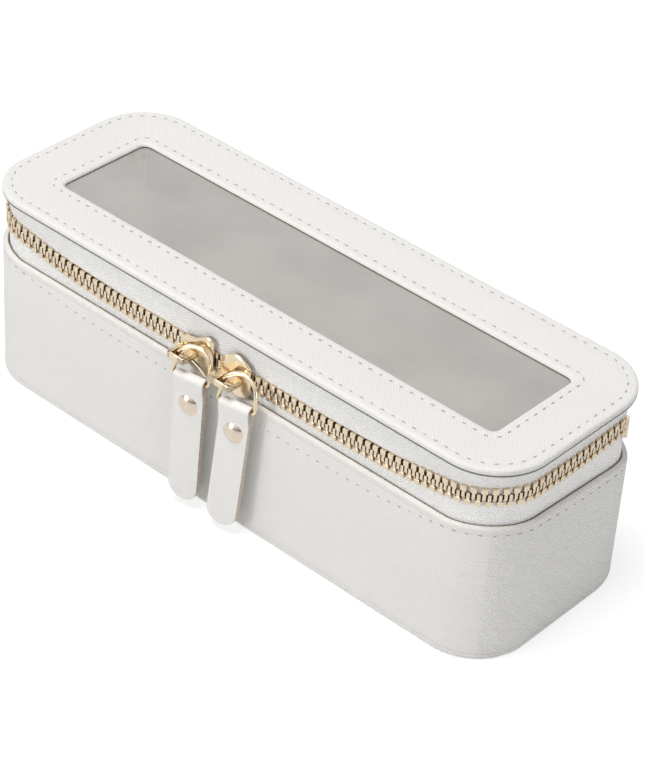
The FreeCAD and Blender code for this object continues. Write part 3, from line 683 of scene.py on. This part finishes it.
class OBJECT_OT_case_finishes(bpy.types.Operator):
    """Finishes of all pieces, put on those that keep their built shape"""
    bl_idname = "jewelry_case.finishes"
    bl_label = "Finishes"

    def execute(self, context):
        case = looks().case
        tint = looks().tint
        # Ranges in metres that reach past the case on an open side
        past = 1
        lid_edge = (0, case.lid_low + LID_LINE * MM)
        above_foot = (case.foot * 4, past)
        # Painted shadow on the lid: a dark band along its lower edge, and a dark band at the foot of the window's
        # rolled edge
        lid_lines = [(lid_edge, (-past, 2 * MM), tint.edge), (lid_edge, (15 * MM, past), tint.window_edge_shadow)]
        # Seam line at the foot; painted warm tint of bounce light and shade on the rim's top; painted shadow line
        # between the rim and the tape
        base_lines = [((1.9 * MM, 2.2 * MM), (-past, past), tint.seam),
                      (above_foot, (0.45 * MM, past), tint.rim), (above_foot, (1.45 * MM, past), tint.gap)]
        FINISHES.update({
            "leather": leather_finish("white_leather", tint.leather),
            "lid": leather_finish("lid_leather", tint.leather, lid_lines),
            "base": leather_finish("base_leather", tint.leather, base_lines),
            "tab": leather_finish("tab_leather", shade(tint.leather, 1.06), cut_edge=tint.cut),
            "tape": tape_finish("zip_tape", tint.tape),
            "thread": thread_finish("thread", tint.thread),
            "cloth": cloth_finish("lining_cloth", tint.cloth),
            "board": board_finish("board", tint.board),
            "teeth": gold_finish("zip_gold", tint.teeth, 0.22),
            "hardware": gold_finish("hardware_gold", tint.hardware, 0.12),
            "rivet": gold_finish("rivet_gold", tint.rivet, 0.12),
            "pane": pane_finish("window_clear", tint.veil),
        })
        for part in frame["record"]["subparts"]:
            cover(frame["nodes"][part["node"]], FINISHES[SLOTS[part["material_slot"]]])
        return {"FINISHED"}


class OBJECT_OT_case_lid(bpy.types.Operator):
    """Leather frame of the lid, pressed in along its two rows of stitching"""
    bl_idname = "jewelry_case.lid"
    bl_label = "Lid leather"

    # The leather's section in millimetres. The lower edge: inset and height above it
    LOWER_EDGE = ((0.08, 0.08), (0, 0.3), (0, LID_LINE))
    # The rounded upper edge: radius
    UPPER_EDGE = 1.05
    # The face, pressed in at each row of stitches: inset and drop below the top
    FACE = ((2.3, 0), (2.7, 0.05), (3.0, 0.12), (3.3, 0.05), (3.8, 0.02), (6.5, 0.14), (10.0, 0.34),
            (13.9, 0.54), (14.7, 0.59), (15.1, 0.68), (15.5, 0.61), (16.0, 0.58))
    # The edge rolled in at the window: distance outside the window and drop below the top
    ROLL = ((1.2, 0.64), (0.8, 0.72), (0.45, 0.9), (0.2, 1.15), (0.05, 1.5), (0, 1.9), (0, 2.3), (0.4, 2.7))

    def execute(self, context):
        case = looks().case
        edge = self.UPPER_EDGE * MM
        skin = Skin("lid_leather", 0.3 * MM, case.lid_low)
        for inset, climb in self.LOWER_EDGE:
            skin.rise(inset * MM, case.lid_low + climb * MM)
        skin.rise(0, case.top - edge)
        skin.round_over(edge, case.top - edge)
        for inset, drop in self.FACE:
            skin.shrink(inset * MM, case.top - drop * MM)
        for before, drop in self.ROLL:
            skin.rise(case.window - before * MM, case.top - drop * MM)
        hand_over(skin.done(), "lid", FINISHES["lid"], ("lid_cover",))
        return {"FINISHED"}


class OBJECT_OT_case_base(bpy.types.Operator):
    """Leather on the base walls, with its foot seam, stitch groove and turned rim"""
    bl_idname = "jewelry_case.base"
    bl_label = "Base leather"

    # The leather's section in millimetres. The foot, with its seam: inset and height
    FOOT = ((0.08, 1.05), (0, 1.3), (0, 1.85), (0.05, 1.98), (0.05, 2.1), (0, 2.25), (0, 4), (0, 20))
    # The groove of the stitches: inset and height from the row
    GROOVE = ((0, -0.5), (0.04, -0.25), (0.12, 0), (0.04, 0.25), (0, 0.5))
    # The rounded rim: radius
    RIM_EDGE = 0.75
    # The edge turned in at the rim: distance outside the wall's inner face and drop below the rim
    TURNED = ((0.3, 0), (0.08, 0.1), (0, 0.35))
    # How far the leather goes down inside the wall
    INSIDE = 9

    def execute(self, context):
        case = looks().case
        row = case.rim - looks().stitch.rim_drop
        edge = self.RIM_EDGE * MM
        skin = Skin("base_leather", 0.4 * MM, case.foot)
        for inset, z in self.FOOT:
            skin.rise(inset * MM, z * MM)
        for inset, rise in self.GROOVE:
            skin.rise(inset * MM, row + rise * MM)
        skin.rise(0, case.rim - edge)
        skin.round_over(edge, case.rim - edge)
        for before, drop in self.TURNED:
            skin.shrink(case.wall - before * MM, case.rim - drop * MM)
        skin.rise(case.wall, case.rim - self.INSIDE * MM)
        leather = skin.done()
        foot = looks().settle.foot
        settle_mesh(leather, lambda z: ease((z - foot) / (row - foot)), climb=0)
        hand_over(leather, "base", FINISHES["base"], ("base_wrap",))
        return {"FINISHED"}


class OBJECT_OT_case_hinge(bpy.types.Operator):
    """Leather strip along the back where the lid hinges"""
    bl_idname = "jewelry_case.hinge"
    bl_label = "Hinge strip"

    def execute(self, context):
        case = looks().case
        skin = Skin("hinge_strip", case.band + case.band_thickness / 2, case.band_low)
        # Close rings at the fold, and wide ones below and above it
        heights = [case.band_low + step * 2 * MM for step in range(1, 8)]
        heights += [case.chain + step * 0.4 * MM for step in range(-8, 9)]
        heights += [case.chain + 4 * MM + step * 2 * MM for step in range(5)] + [case.lid_low]
        for z in heights:
            skin.rise(skin.inset, z)
        strip = skin.done()
        cut_across(case.zip_end + 0.05 * MM, clear_inner=True)
        thicken(strip, case.band_thickness)
        cover(strip, FINISHES["leather"])
        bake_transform(strip)
        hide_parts("hinge_strip_lower", "hinge_strip_upper")
        return {"FINISHED"}


class OBJECT_OT_case_tapes(bpy.types.Operator):
    """Woven tapes that carry the two rows of teeth"""
    bl_idname = "jewelry_case.tapes"
    bl_label = "Zip tapes"

    RINGS = 6
    # In millimetres: tape short of the chain's middle, below the lid's edge, and turned in under the lid
    GAP = 0.1
    BELOW_LID = 0.35
    FLANGE = 5.5

    def execute(self, context):
        case = looks().case
        middle = case.band + case.band_thickness / 2
        gap = self.GAP * MM
        tapes = (("lower_zip_tape", "base", case.band_low, case.chain - gap),
                 ("upper_zip_tape", "lid", case.chain + gap, case.lid_low - self.BELOW_LID * MM))
        for name, body, low, high in tapes:
            skin = Skin(f"{name}_cloth", middle, low)
            for step in range(1, self.RINGS + 1):
                skin.rise(middle, low + (high - low) * step / self.RINGS)
            if body == "lid":
                skin.shrink(middle + self.FLANGE * MM, high)
            tape = skin.done()
            cut_across(case.zip_end, clear_outer=True)
            bpy.ops.object.mode_set(mode="EDIT")
            bpy.ops.mesh.select_all(action="SELECT")
            bpy.ops.mesh.subdivide(number_cuts=1)
            bpy.ops.object.mode_set(mode="OBJECT")
            thicken(tape, case.band_thickness)
            if body == "lid":
                settle_mesh(tape, lambda z: clamp((case.lid_low - z) / (case.lid_low - case.chain)))
            else:
                settle_mesh(tape, lambda z: 1)
            hand_over(tape, body, FINISHES["tape"], (name,))
        return {"FINISHED"}


class OBJECT_OT_case_pane(bpy.types.Operator):
    """Clear sheet sewn in below the lid's leather"""
    bl_idname = "jewelry_case.pane"
    bl_label = "Window pane"

    def execute(self, context):
        case = looks().case
        tucked = 0.5 * MM
        thickness = 0.4 * MM
        above = 0.1 * MM
        inset = case.window - tucked
        size = (case.long_side - 2 * inset, case.short_side - 2 * inset, thickness)
        sheet = add_block("window_sheet", size, (0, 0, case.lid_low + above))
        hand_over(sheet, "lid", FINISHES["pane"], ("window_pane",))
        return {"FINISHED"}


class OBJECT_OT_case_stitches(bpy.types.Operator):
    """Rows of stitches on the lid and below the rim"""
    bl_idname = "jewelry_case.stitches"
    bl_label = "Stitches"

    # Height of the thread as a share of its width
    FLATTENED = 0.7
    # How unevenly the stitches lie: turn in degrees and share of the size
    UNEVEN_TURN = 7
    UNEVEN_SIZE = 0.12

    def row(self, name, inset, corner, z, upright):
        """Dashes along a rounded rectangle, lying on a flat face or on the wall."""
        stitch = looks().stitch
        whole, place = round_path(inset, corner)
        count = round(whole / stitch.pitch)
        deselect()
        bpy.ops.mesh.primitive_uv_sphere_add(segments=8, ring_count=5, radius=0.5)
        dash = bpy.context.object
        bpy.ops.object.shade_smooth()
        on_wall = (stitch.dash, stitch.thread * self.FLATTENED, stitch.thread)
        on_face = (stitch.dash, stitch.thread, stitch.thread * self.FLATTENED)
        places = []
        for step in range(count):
            point, heading = place(whole * (step + 0.5) / count)
            # Uneven from stitch to stitch, and the same in each run
            unrest = math.sin(step * 12.9898) * math.cos(step * 4.1414)
            aslant = 0 if upright else self.UNEVEN_TURN * unrest
            turn = Matrix.Rotation(math.radians(heading + aslant), 4, "Z")
            scale = Matrix.Diagonal((*(on_wall if upright else on_face), 1)) * (1 + self.UNEVEN_SIZE * unrest)
            scale[3][3] = 1
            raised = Vector((0, 0, z + (zip_rise(point.x, point.y, 0) if upright else 0)))
            places.append(Matrix.Translation(point + raised) @ turn @ scale)
        return scatter(dash, name, places)

    def execute(self, context):
        case = looks().case
        stitch = looks().stitch
        # Name, body, inset, corner radius, height, and whether the row lies on the upright wall
        rows = (("lid_stitches_outer", "lid", stitch.margin, case.corner - stitch.margin,
                 case.top - 0.1 * MM, False),
                ("lid_stitches_inner", "lid", case.window - stitch.margin, 4.2 * MM,
                 case.top - 0.62 * MM, False),
                ("rim_stitches", "base", 0.08 * MM, case.corner, case.rim - stitch.rim_drop, True))
        for name, body, *run in rows:
            hand_over(self.row(name, *run), body, FINISHES["thread"])
        return {"FINISHED"}


class OBJECT_OT_case_lap(bpy.types.Operator):
    """Lapped seam of the lining on the inner back wall"""
    bl_idname = "jewelry_case.lap"
    bl_label = "Lining seam"

    # Thickness of the lining, in millimetres
    LINING = 0.5
    # The lap: width, thickness, how much lower than the lining it is, and rounding of its edges
    WIDTH, THICKNESS, SHORT, ROUND = 14, 0.5, 1.5, 0.15
    # Its place along X, and how far its middle stands out from the lining
    ALONG, PROUD = -79, 0.2

    def execute(self, context):
        low, high = (Vector(corner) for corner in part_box("base_wall_lining"))
        inside = high.y - self.LINING * MM
        size = (self.WIDTH * MM, self.THICKNESS * MM, high.z - low.z - self.SHORT * MM)
        middle = (self.ALONG * MM, inside - self.PROUD * MM, (low.z + high.z) / 2)
        lap = add_block("lining_lap", size, middle, self.ROUND * MM)
        hand_over(lap, "base", FINISHES["cloth"])
        return {"FINISHED"}


class OBJECT_OT_case_teeth(bpy.types.Operator):
    """Two rows of metal teeth that mesh round the front and the ends"""
    bl_idname = "jewelry_case.teeth"
    bl_label = "Zip teeth"

    def tooth(self):
        """Tooth of the upper row round the origin: a head below and a wider grip above."""
        zipper = looks().zip
        grip = zipper.reach - zipper.neck
        size = (zipper.body, zipper.thickness, grip)
        tooth = add_block("tooth", size, (0, 0, zipper.neck + grip / 2))
        for face in tooth.data.polygons:
            face.select = face.normal.z < -0.5
        bpy.ops.object.mode_set(mode="EDIT")
        bpy.ops.mesh.select_mode(type="FACE")
        bpy.ops.mesh.inset(thickness=0.02 * MM)
        head = (zipper.head / zipper.body, 0.85, 1)
        bpy.ops.transform.resize(value=head, center_override=(0, 0, zipper.neck))
        bpy.ops.mesh.extrude_region_move(
            TRANSFORM_OT_translate={"value": (0, 0, -zipper.neck - zipper.mesh)})
        bpy.ops.object.mode_set(mode="OBJECT")
        round_edges(tooth, zipper.ease, 2)
        return tooth

    def execute(self, context):
        case = looks().case
        zipper = looks().zip
        inset = case.band + case.band_thickness / 2
        radius = case.corner - inset
        whole, place = round_path(inset, radius)
        front = case.long_side / 2 - case.corner
        back = case.short_side / 2 - case.corner
        turn = math.asin((case.zip_end - back) / radius)
        end = front + 2 * back + radius * (math.pi / 2 + turn) - zipper.stop
        count = int((end - zipper.pitch) / zipper.pitch)
        # Name, body, shift in pitches and turn about Y in degrees
        rows = (("upper_zip_teeth", "lid", 0.0, 0), ("lower_zip_teeth", "base", 0.5, 180))
        for name, body, shift, flip in rows:
            places = []
            for step in range(-count, count + 1):
                distance = (step + shift) * zipper.pitch
                if distance > count * zipper.pitch:
                    continue
                point, heading = place((front + distance) % whole)
                spin = Matrix.Rotation(math.radians(heading), 4, "Z")
                over = Matrix.Rotation(math.radians(flip), 4, "Y")
                raised = Vector((0, 0, case.chain + zip_rise(point.x, point.y)))
                places.append(Matrix.Translation(point + raised) @ spin @ over)
            row = scatter(self.tooth(), f"{name}_bright", places)
            hand_over(row, body, FINISHES["teeth"], (name,))
        return {"FINISHED"}


class OBJECT_OT_case_sliders(bpy.types.Operator):
    """Zip sliders with a domed, waisted plate and a bridge for the ring"""
    bl_idname = "jewelry_case.sliders"
    bl_label = "Zip sliders"

    # Half height of each plate along its length, from the mouth to the other end, in millimetres
    WAIST = {"left": ((0.9, 3.0), (1.1, 6.2), (2.2, 7.3), (3.6, 7.4), (4.8, 7.0), (6.2, 6.1), (7.4, 5.3),
                      (8.5, 4.8), (10.0, 4.4), (11.3, 4.2), (12.6, 4.0), (13.3, 3.2), (13.5, 2.2)),
             "right": ((1.4, 1.6), (1.9, 2.7), (3.4, 4.9), (4.7, 6.2), (6.0, 7.1), (7.4, 7.4), (8.7, 7.3),
                       (10.0, 6.8), (11.2, 6.2), (12.4, 5.6), (13.2, 4.7), (13.5, 3.4))}
    # Thickness of the plate's edge, then the steps of its dome: inset and rise
    PLATE_EDGE = 0.45
    DOME = ((0.18, 0.12), (0.35, 0.13), (0.6, 0.12), (1.0, 0.08))
    # How deep the bridge's feet go into the plate
    ROOTED = 0.6

    def plate(self, low, high, side):
        """Domed plate between two corners of the built slider."""
        middle = (low.z + high.z) / 2 + looks().settle.front
        mouth = low.x if side == "right" else high.x
        ahead = 1 if side == "right" else -1
        waist = self.WAIST[side]
        edge = [(mouth + ahead * along * MM, middle + half * MM) for along, half in waist]
        edge += [(mouth + ahead * along * MM, middle - half * MM) for along, half in reversed(waist)]
        if side == "right":
            edge.reverse()
        deselect()
        bpy.ops.mesh.primitive_circle_add(vertices=len(edge), fill_type="NGON")
        plate = bpy.context.object
        back = looks().pull.plate_back
        for vertex, (x, z) in zip(plate.data.vertices, edge):
            vertex.co = (x, back, z)
        bpy.ops.object.mode_set(mode="EDIT")
        bpy.ops.mesh.select_all(action="SELECT")
        bpy.ops.mesh.extrude_region_move(TRANSFORM_OT_translate={"value": (0, -self.PLATE_EDGE * MM, 0)})
        for inset, rise in self.DOME:
            bpy.ops.mesh.inset(thickness=inset * MM, depth=rise * MM)
        bpy.ops.object.mode_set(mode="OBJECT")
        return plate

    def block(self, low, high):
        """Rounded block between two corners."""
        low, high = Vector(low), Vector(high)
        return add_block("bridge", high - low, (low + high) / 2, 0.28 * MM, 3)

    def execute(self, context):
        pull = looks().pull
        for side in ("left", "right"):
            node = f"slider_{side}_front"
            low, high = (Vector(corner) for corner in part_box(node))
            ring = joint_named(f"ring_{side}_swing")["pos_m"][0]
            middle = (low.z + high.z) / 2
            root = pull.plate_back - self.ROOTED * MM
            heel = max(ring - pull.eye_far - pull.heel, low.x + 0.1 * MM)
            eye = ring - pull.eye_far
            foot = ring - pull.eye_near
            toe = foot + pull.foot
            under, over = middle - pull.bridge / 2, middle + pull.bridge / 2
            face = low.y + pull.crown_in
            crown = face + pull.crown
            parts = [self.plate(low, high, side),
                     self.block((heel, face, under), (toe, crown, over)),
                     self.block((heel, face, under), (eye, root, over)),
                     self.block((foot, face, under), (toe, root, over))]
            slider = join(parts, f"slider_{side}_bright")
            smooth(SHARP)
            hand_over(slider, f"slider_{side}", FINISHES["hardware"], (node,))
        return {"FINISHED"}


class OBJECT_OT_case_tabs(bpy.types.Operator):
    """Leather pull tabs, each one strip folded over its ring and riveted"""
    bl_idname = "jewelry_case.tabs"
    bl_label = "Pull tabs"

    # The fold over the ring's bar: steps, first angle and turn from step to step in degrees
    FOLD_STEPS, FOLD_FROM, FOLD_TURN = 13, 195, 17.5
    # Rounding of the cut edges, in millimetres
    EDGE = 0.22

    def section(self, low):
        """Middle line of the folded strip round the ring's bar, as places along Y and Z."""
        pull = looks().pull
        half = pull.leather / 2
        middle = pull.bore + half
        leg = [(-half, low), (-half, -pull.taper * 1.4), (-half * 1.05, -pull.taper),
               (-middle * 0.86, -pull.taper * 0.45)]
        fold = []
        for step in range(self.FOLD_STEPS):
            turn = math.radians(self.FOLD_FROM - step * self.FOLD_TURN)
            fold.append((middle * math.cos(turn), middle * math.sin(turn)))
        return leg + fold + [(-y, z) for y, z in reversed(leg)]

    def strip(self, name, low):
        """Leather strip round the origin, folded along its section and with its lower corners rounded."""
        pull = looks().pull
        path = self.section(low)
        deselect()
        bpy.ops.mesh.primitive_plane_add(size=1)
        strip = bpy.context.object
        strip.name = name
        bpy.ops.object.mode_set(mode="EDIT")
        bpy.ops.transform.resize(value=(pull.width, 1, 1), center_override=(0, 0, 0))
        bpy.ops.mesh.delete(type="ONLY_FACE")
        bpy.ops.object.mode_set(mode="OBJECT")
        for vertex in strip.data.vertices:
            vertex.select = vertex.co.y > 0
        bpy.ops.object.mode_set(mode="EDIT")
        bpy.ops.mesh.select_mode(type="VERT")
        bpy.ops.mesh.delete(type="VERT")
        bpy.ops.mesh.select_all(action="SELECT")
        bpy.ops.transform.translate(value=(0, 0.5 + path[0][0], path[0][1]))
        for (y0, z0), (y1, z1) in zip(path, path[1:]):
            bpy.ops.mesh.extrude_region_move(TRANSFORM_OT_translate={"value": (0, y1 - y0, z1 - z0)})
        bpy.ops.object.mode_set(mode="OBJECT")
        for vertex in strip.data.vertices:
            vertex.select = abs(vertex.co.z - low) < 0.01 * MM
        bpy.ops.object.mode_set(mode="EDIT")
        bpy.ops.mesh.bevel(offset=pull.end, segments=8, affect="VERTICES")
        bpy.ops.mesh.select_all(action="SELECT")
        bpy.ops.mesh.normals_make_consistent(inside=False)
        bpy.ops.object.mode_set(mode="OBJECT")
        thicken(strip, pull.leather)
        round_edges(strip, self.EDGE * MM, 3)
        return strip

    def execute(self, context):
        pull = looks().pull
        for side, aslant in (("left", pull.lean_left), ("right", pull.lean_right)):
            joint = joint_named(f"tab_{side}_swing")
            bar = Vector(joint["pos_m"])
            axis = Vector(joint["axis"])
            tab = self.strip(f"tab_{side}_leather", pull.floor - bar.z)
            lean = math.tan(aslant)
            for vertex in tab.data.vertices:
                vertex.co.x += lean * min(vertex.co.z + pull.taper, 0)
            turn = math.atan2(-axis.y, -axis.x)
            tab.data.transform(Matrix.Translation(bar) @ Matrix.Rotation(turn, 4, "Z"))
            hand_over(tab, f"tab_{side}", FINISHES["tab"], (f"pull_tab_{side}",))
        return {"FINISHED"}


class OBJECT_OT_case_stage(bpy.types.Operator):
    """Camera, white floor and soft studio light"""
    bl_idname = "jewelry_case.stage"
    bl_label = "Studio"

    # Camera fitted to the photograph: turn, tilt and roll in degrees, place to the right, up and back in
    # metres, focal length and longer side of the picture in pixels, and sensor in millimetres
    TURNS = (39.89, 36.44, 4.08)
    PLACE = (0.00844, 0.02199, 0.82663)
    FOCAL, PICTURE, SENSOR = 2652.8, 774, 36
    # Soft lights: name, place in metres, width in metres and power in watts, all aimed at one height
    LIGHTS = (("key", (-0.08, -0.2, 1.2), 0.5, 9.8), ("side", (-0.36, -0.8, 0.2), 0.25, 2.15),
              ("fill", (0.9, -0.3, 0.1), 0.5, 2.15))
    AIM = 0.04
    # Floor: greys that light bounces from, grey that the camera sees, and the glow that the camera adds to it
    BOUNCE, SEEN, GLOW = (0.71, 0.73), 0.42, 0.66
    # Sky: light on the case
    SKY = 0.46

    def camera(self, context):
        """Camera found by fitting the photograph."""
        turn, tilt, roll = (math.radians(value) for value in self.TURNS)
        back = Vector((math.sin(turn) * math.cos(tilt), -math.cos(turn) * math.cos(tilt), math.sin(tilt)))
        right = Vector((0, 0, 1)).cross(back).normalized()
        up = back.cross(right)
        right, up = (right * math.cos(roll) + up * math.sin(roll),
                     up * math.cos(roll) - right * math.sin(roll))
        place = right * self.PLACE[0] + up * self.PLACE[1] + back * self.PLACE[2]
        bpy.ops.object.camera_add()
        camera = context.object
        camera.matrix_world = Matrix(((right.x, up.x, back.x, place.x), (right.y, up.y, back.y, place.y),
                                      (right.z, up.z, back.z, place.z), (0, 0, 0, 1)))
        camera.data.sensor_width = self.SENSOR
        camera.data.lens = self.SENSOR * self.FOCAL / self.PICTURE
        camera.data.clip_start = 0.01
        camera.data.clip_end = 20
        context.scene.camera = camera

    def light(self, name, place, width, power):
        """Square soft light aimed at the case."""
        bpy.ops.object.light_add(type="AREA", location=place)
        lamp = bpy.context.object
        lamp.name = name
        lamp.data.size = width
        lamp.data.energy = power
        aim = Vector((0, 0, self.AIM)) - Vector(place)
        lamp.rotation_euler = aim.to_track_quat("-Z", "Y").to_euler()

    def sky(self, context):
        """White behind the case, and a softer sky that lights it and shows in the metal."""
        world = bpy.data.worlds.new("studio")
        context.scene.world = world
        world.use_nodes = True
        tree = world.node_tree
        shader = tree.nodes["Background"]
        path = tree.nodes.new("ShaderNodeLightPath")
        ray = Field(tree, path.outputs["Is Camera Ray"])
        glossy = Field(tree, path.outputs["Is Glossy Ray"])
        where = Field(tree, tree.nodes.new("ShaderNodeTexCoord").outputs["Generated"])
        height = where.node("ShaderNodeSeparateXYZ", {0: where}, output="Z")
        side = where.node("ShaderNodeSeparateXYZ", {0: where}, output="X")
        band = (height * 1.6 + 0.15 - side * 0.45).maths("MAXIMUM", 0.0).maths("MINIMUM", 1.0)
        mirrored = 0.12 + band * 1.05
        dim = self.SKY * (1 - glossy) + mirrored * glossy
        strength = ray + (1 - ray) * dim
        tree.links.new(strength.socket, shader.inputs["Strength"])
        shader.inputs["Color"].default_value = (1, 1, 1, 1)

    def floor(self, context):
        """Wide floor, near white to the camera, that keeps the shadow."""
        deselect()
        bpy.ops.mesh.primitive_plane_add(size=12)
        floor = context.object
        floor.name = "floor"
        finish = Finish("floor_white", Specular_IOR_Level=0.0, Roughness=1.0, Emission_Strength=1.0)
        path = finish.tree.nodes.new("ShaderNodeLightPath")
        seen = Field(finish.tree, path.outputs["Is Camera Ray"])
        low, high = ((grey,) * 3 for grey in self.BOUNCE)
        pale = finish.mix(finish.noise(3.0), low, high)
        finish.feed("Base Color", finish.mix(seen, pale, (self.SEEN,) * 3))
        finish.feed("Emission Color", finish.mix(seen, (0, 0, 0), (self.GLOW,) * 3))
        cover(floor, finish.material)

    def execute(self, context):
        self.floor(context)
        self.camera(context)
        for light in self.LIGHTS:
            self.light(*light)
        self.sky(context)
        context.scene.view_settings.view_transform = "Standard"
        return {"FINISHED"}


class VIEW3D_PT_jewelry_case(bpy.types.Panel):
    """Steps that dress the case, in order"""
    bl_idname = "VIEW3D_PT_jewelry_case"
    bl_label = "Jewelry case"
    bl_space_type = "VIEW_3D"
    bl_region_type = "UI"
    bl_category = "Jewelry case"

    def draw(self, context):
        for step in STEPS:
            self.layout.operator(step.bl_idname)


STEPS = (OBJECT_OT_case_finishes, OBJECT_OT_case_lid, OBJECT_OT_case_base, OBJECT_OT_case_hinge,
         OBJECT_OT_case_tapes, OBJECT_OT_case_pane, OBJECT_OT_case_stitches, OBJECT_OT_case_lap,
         OBJECT_OT_case_teeth, OBJECT_OT_case_sliders, OBJECT_OT_case_tabs, OBJECT_OT_case_stage)
GROUPS = (CaseSizes, SettleSizes, StitchSizes, ZipSizes, PullSizes, GrainSizes, CaseColours, CaseLooks)


def register():
    """Make the settings, steps and panel known to Blender."""
    for item in (*GROUPS, *STEPS, VIEW3D_PT_jewelry_case):
        bpy.utils.register_class(item)
    bpy.types.Scene.jewelry_case = bpy.props.PointerProperty(
        type=CaseLooks, name="Jewelry case", description="Settings of the case")


def unregister():
    """Take them out again."""
    del bpy.types.Scene.jewelry_case
    for item in reversed((*GROUPS, *STEPS, VIEW3D_PT_jewelry_case)):
        bpy.utils.unregister_class(item)


def main():
    """Dress the case."""
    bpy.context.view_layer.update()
    register()
    bpy.ops.jewelry_case.finishes()
    bpy.ops.jewelry_case.lid()
    bpy.ops.jewelry_case.base()
    bpy.ops.jewelry_case.hinge()
    bpy.ops.jewelry_case.tapes()
    bpy.ops.jewelry_case.pane()
    bpy.ops.jewelry_case.stitches()
    bpy.ops.jewelry_case.lap()
    bpy.ops.jewelry_case.teeth()
    bpy.ops.jewelry_case.sliders()
    bpy.ops.jewelry_case.tabs()
    bpy.ops.jewelry_case.stage()


if __name__ == "__main__":
    main()
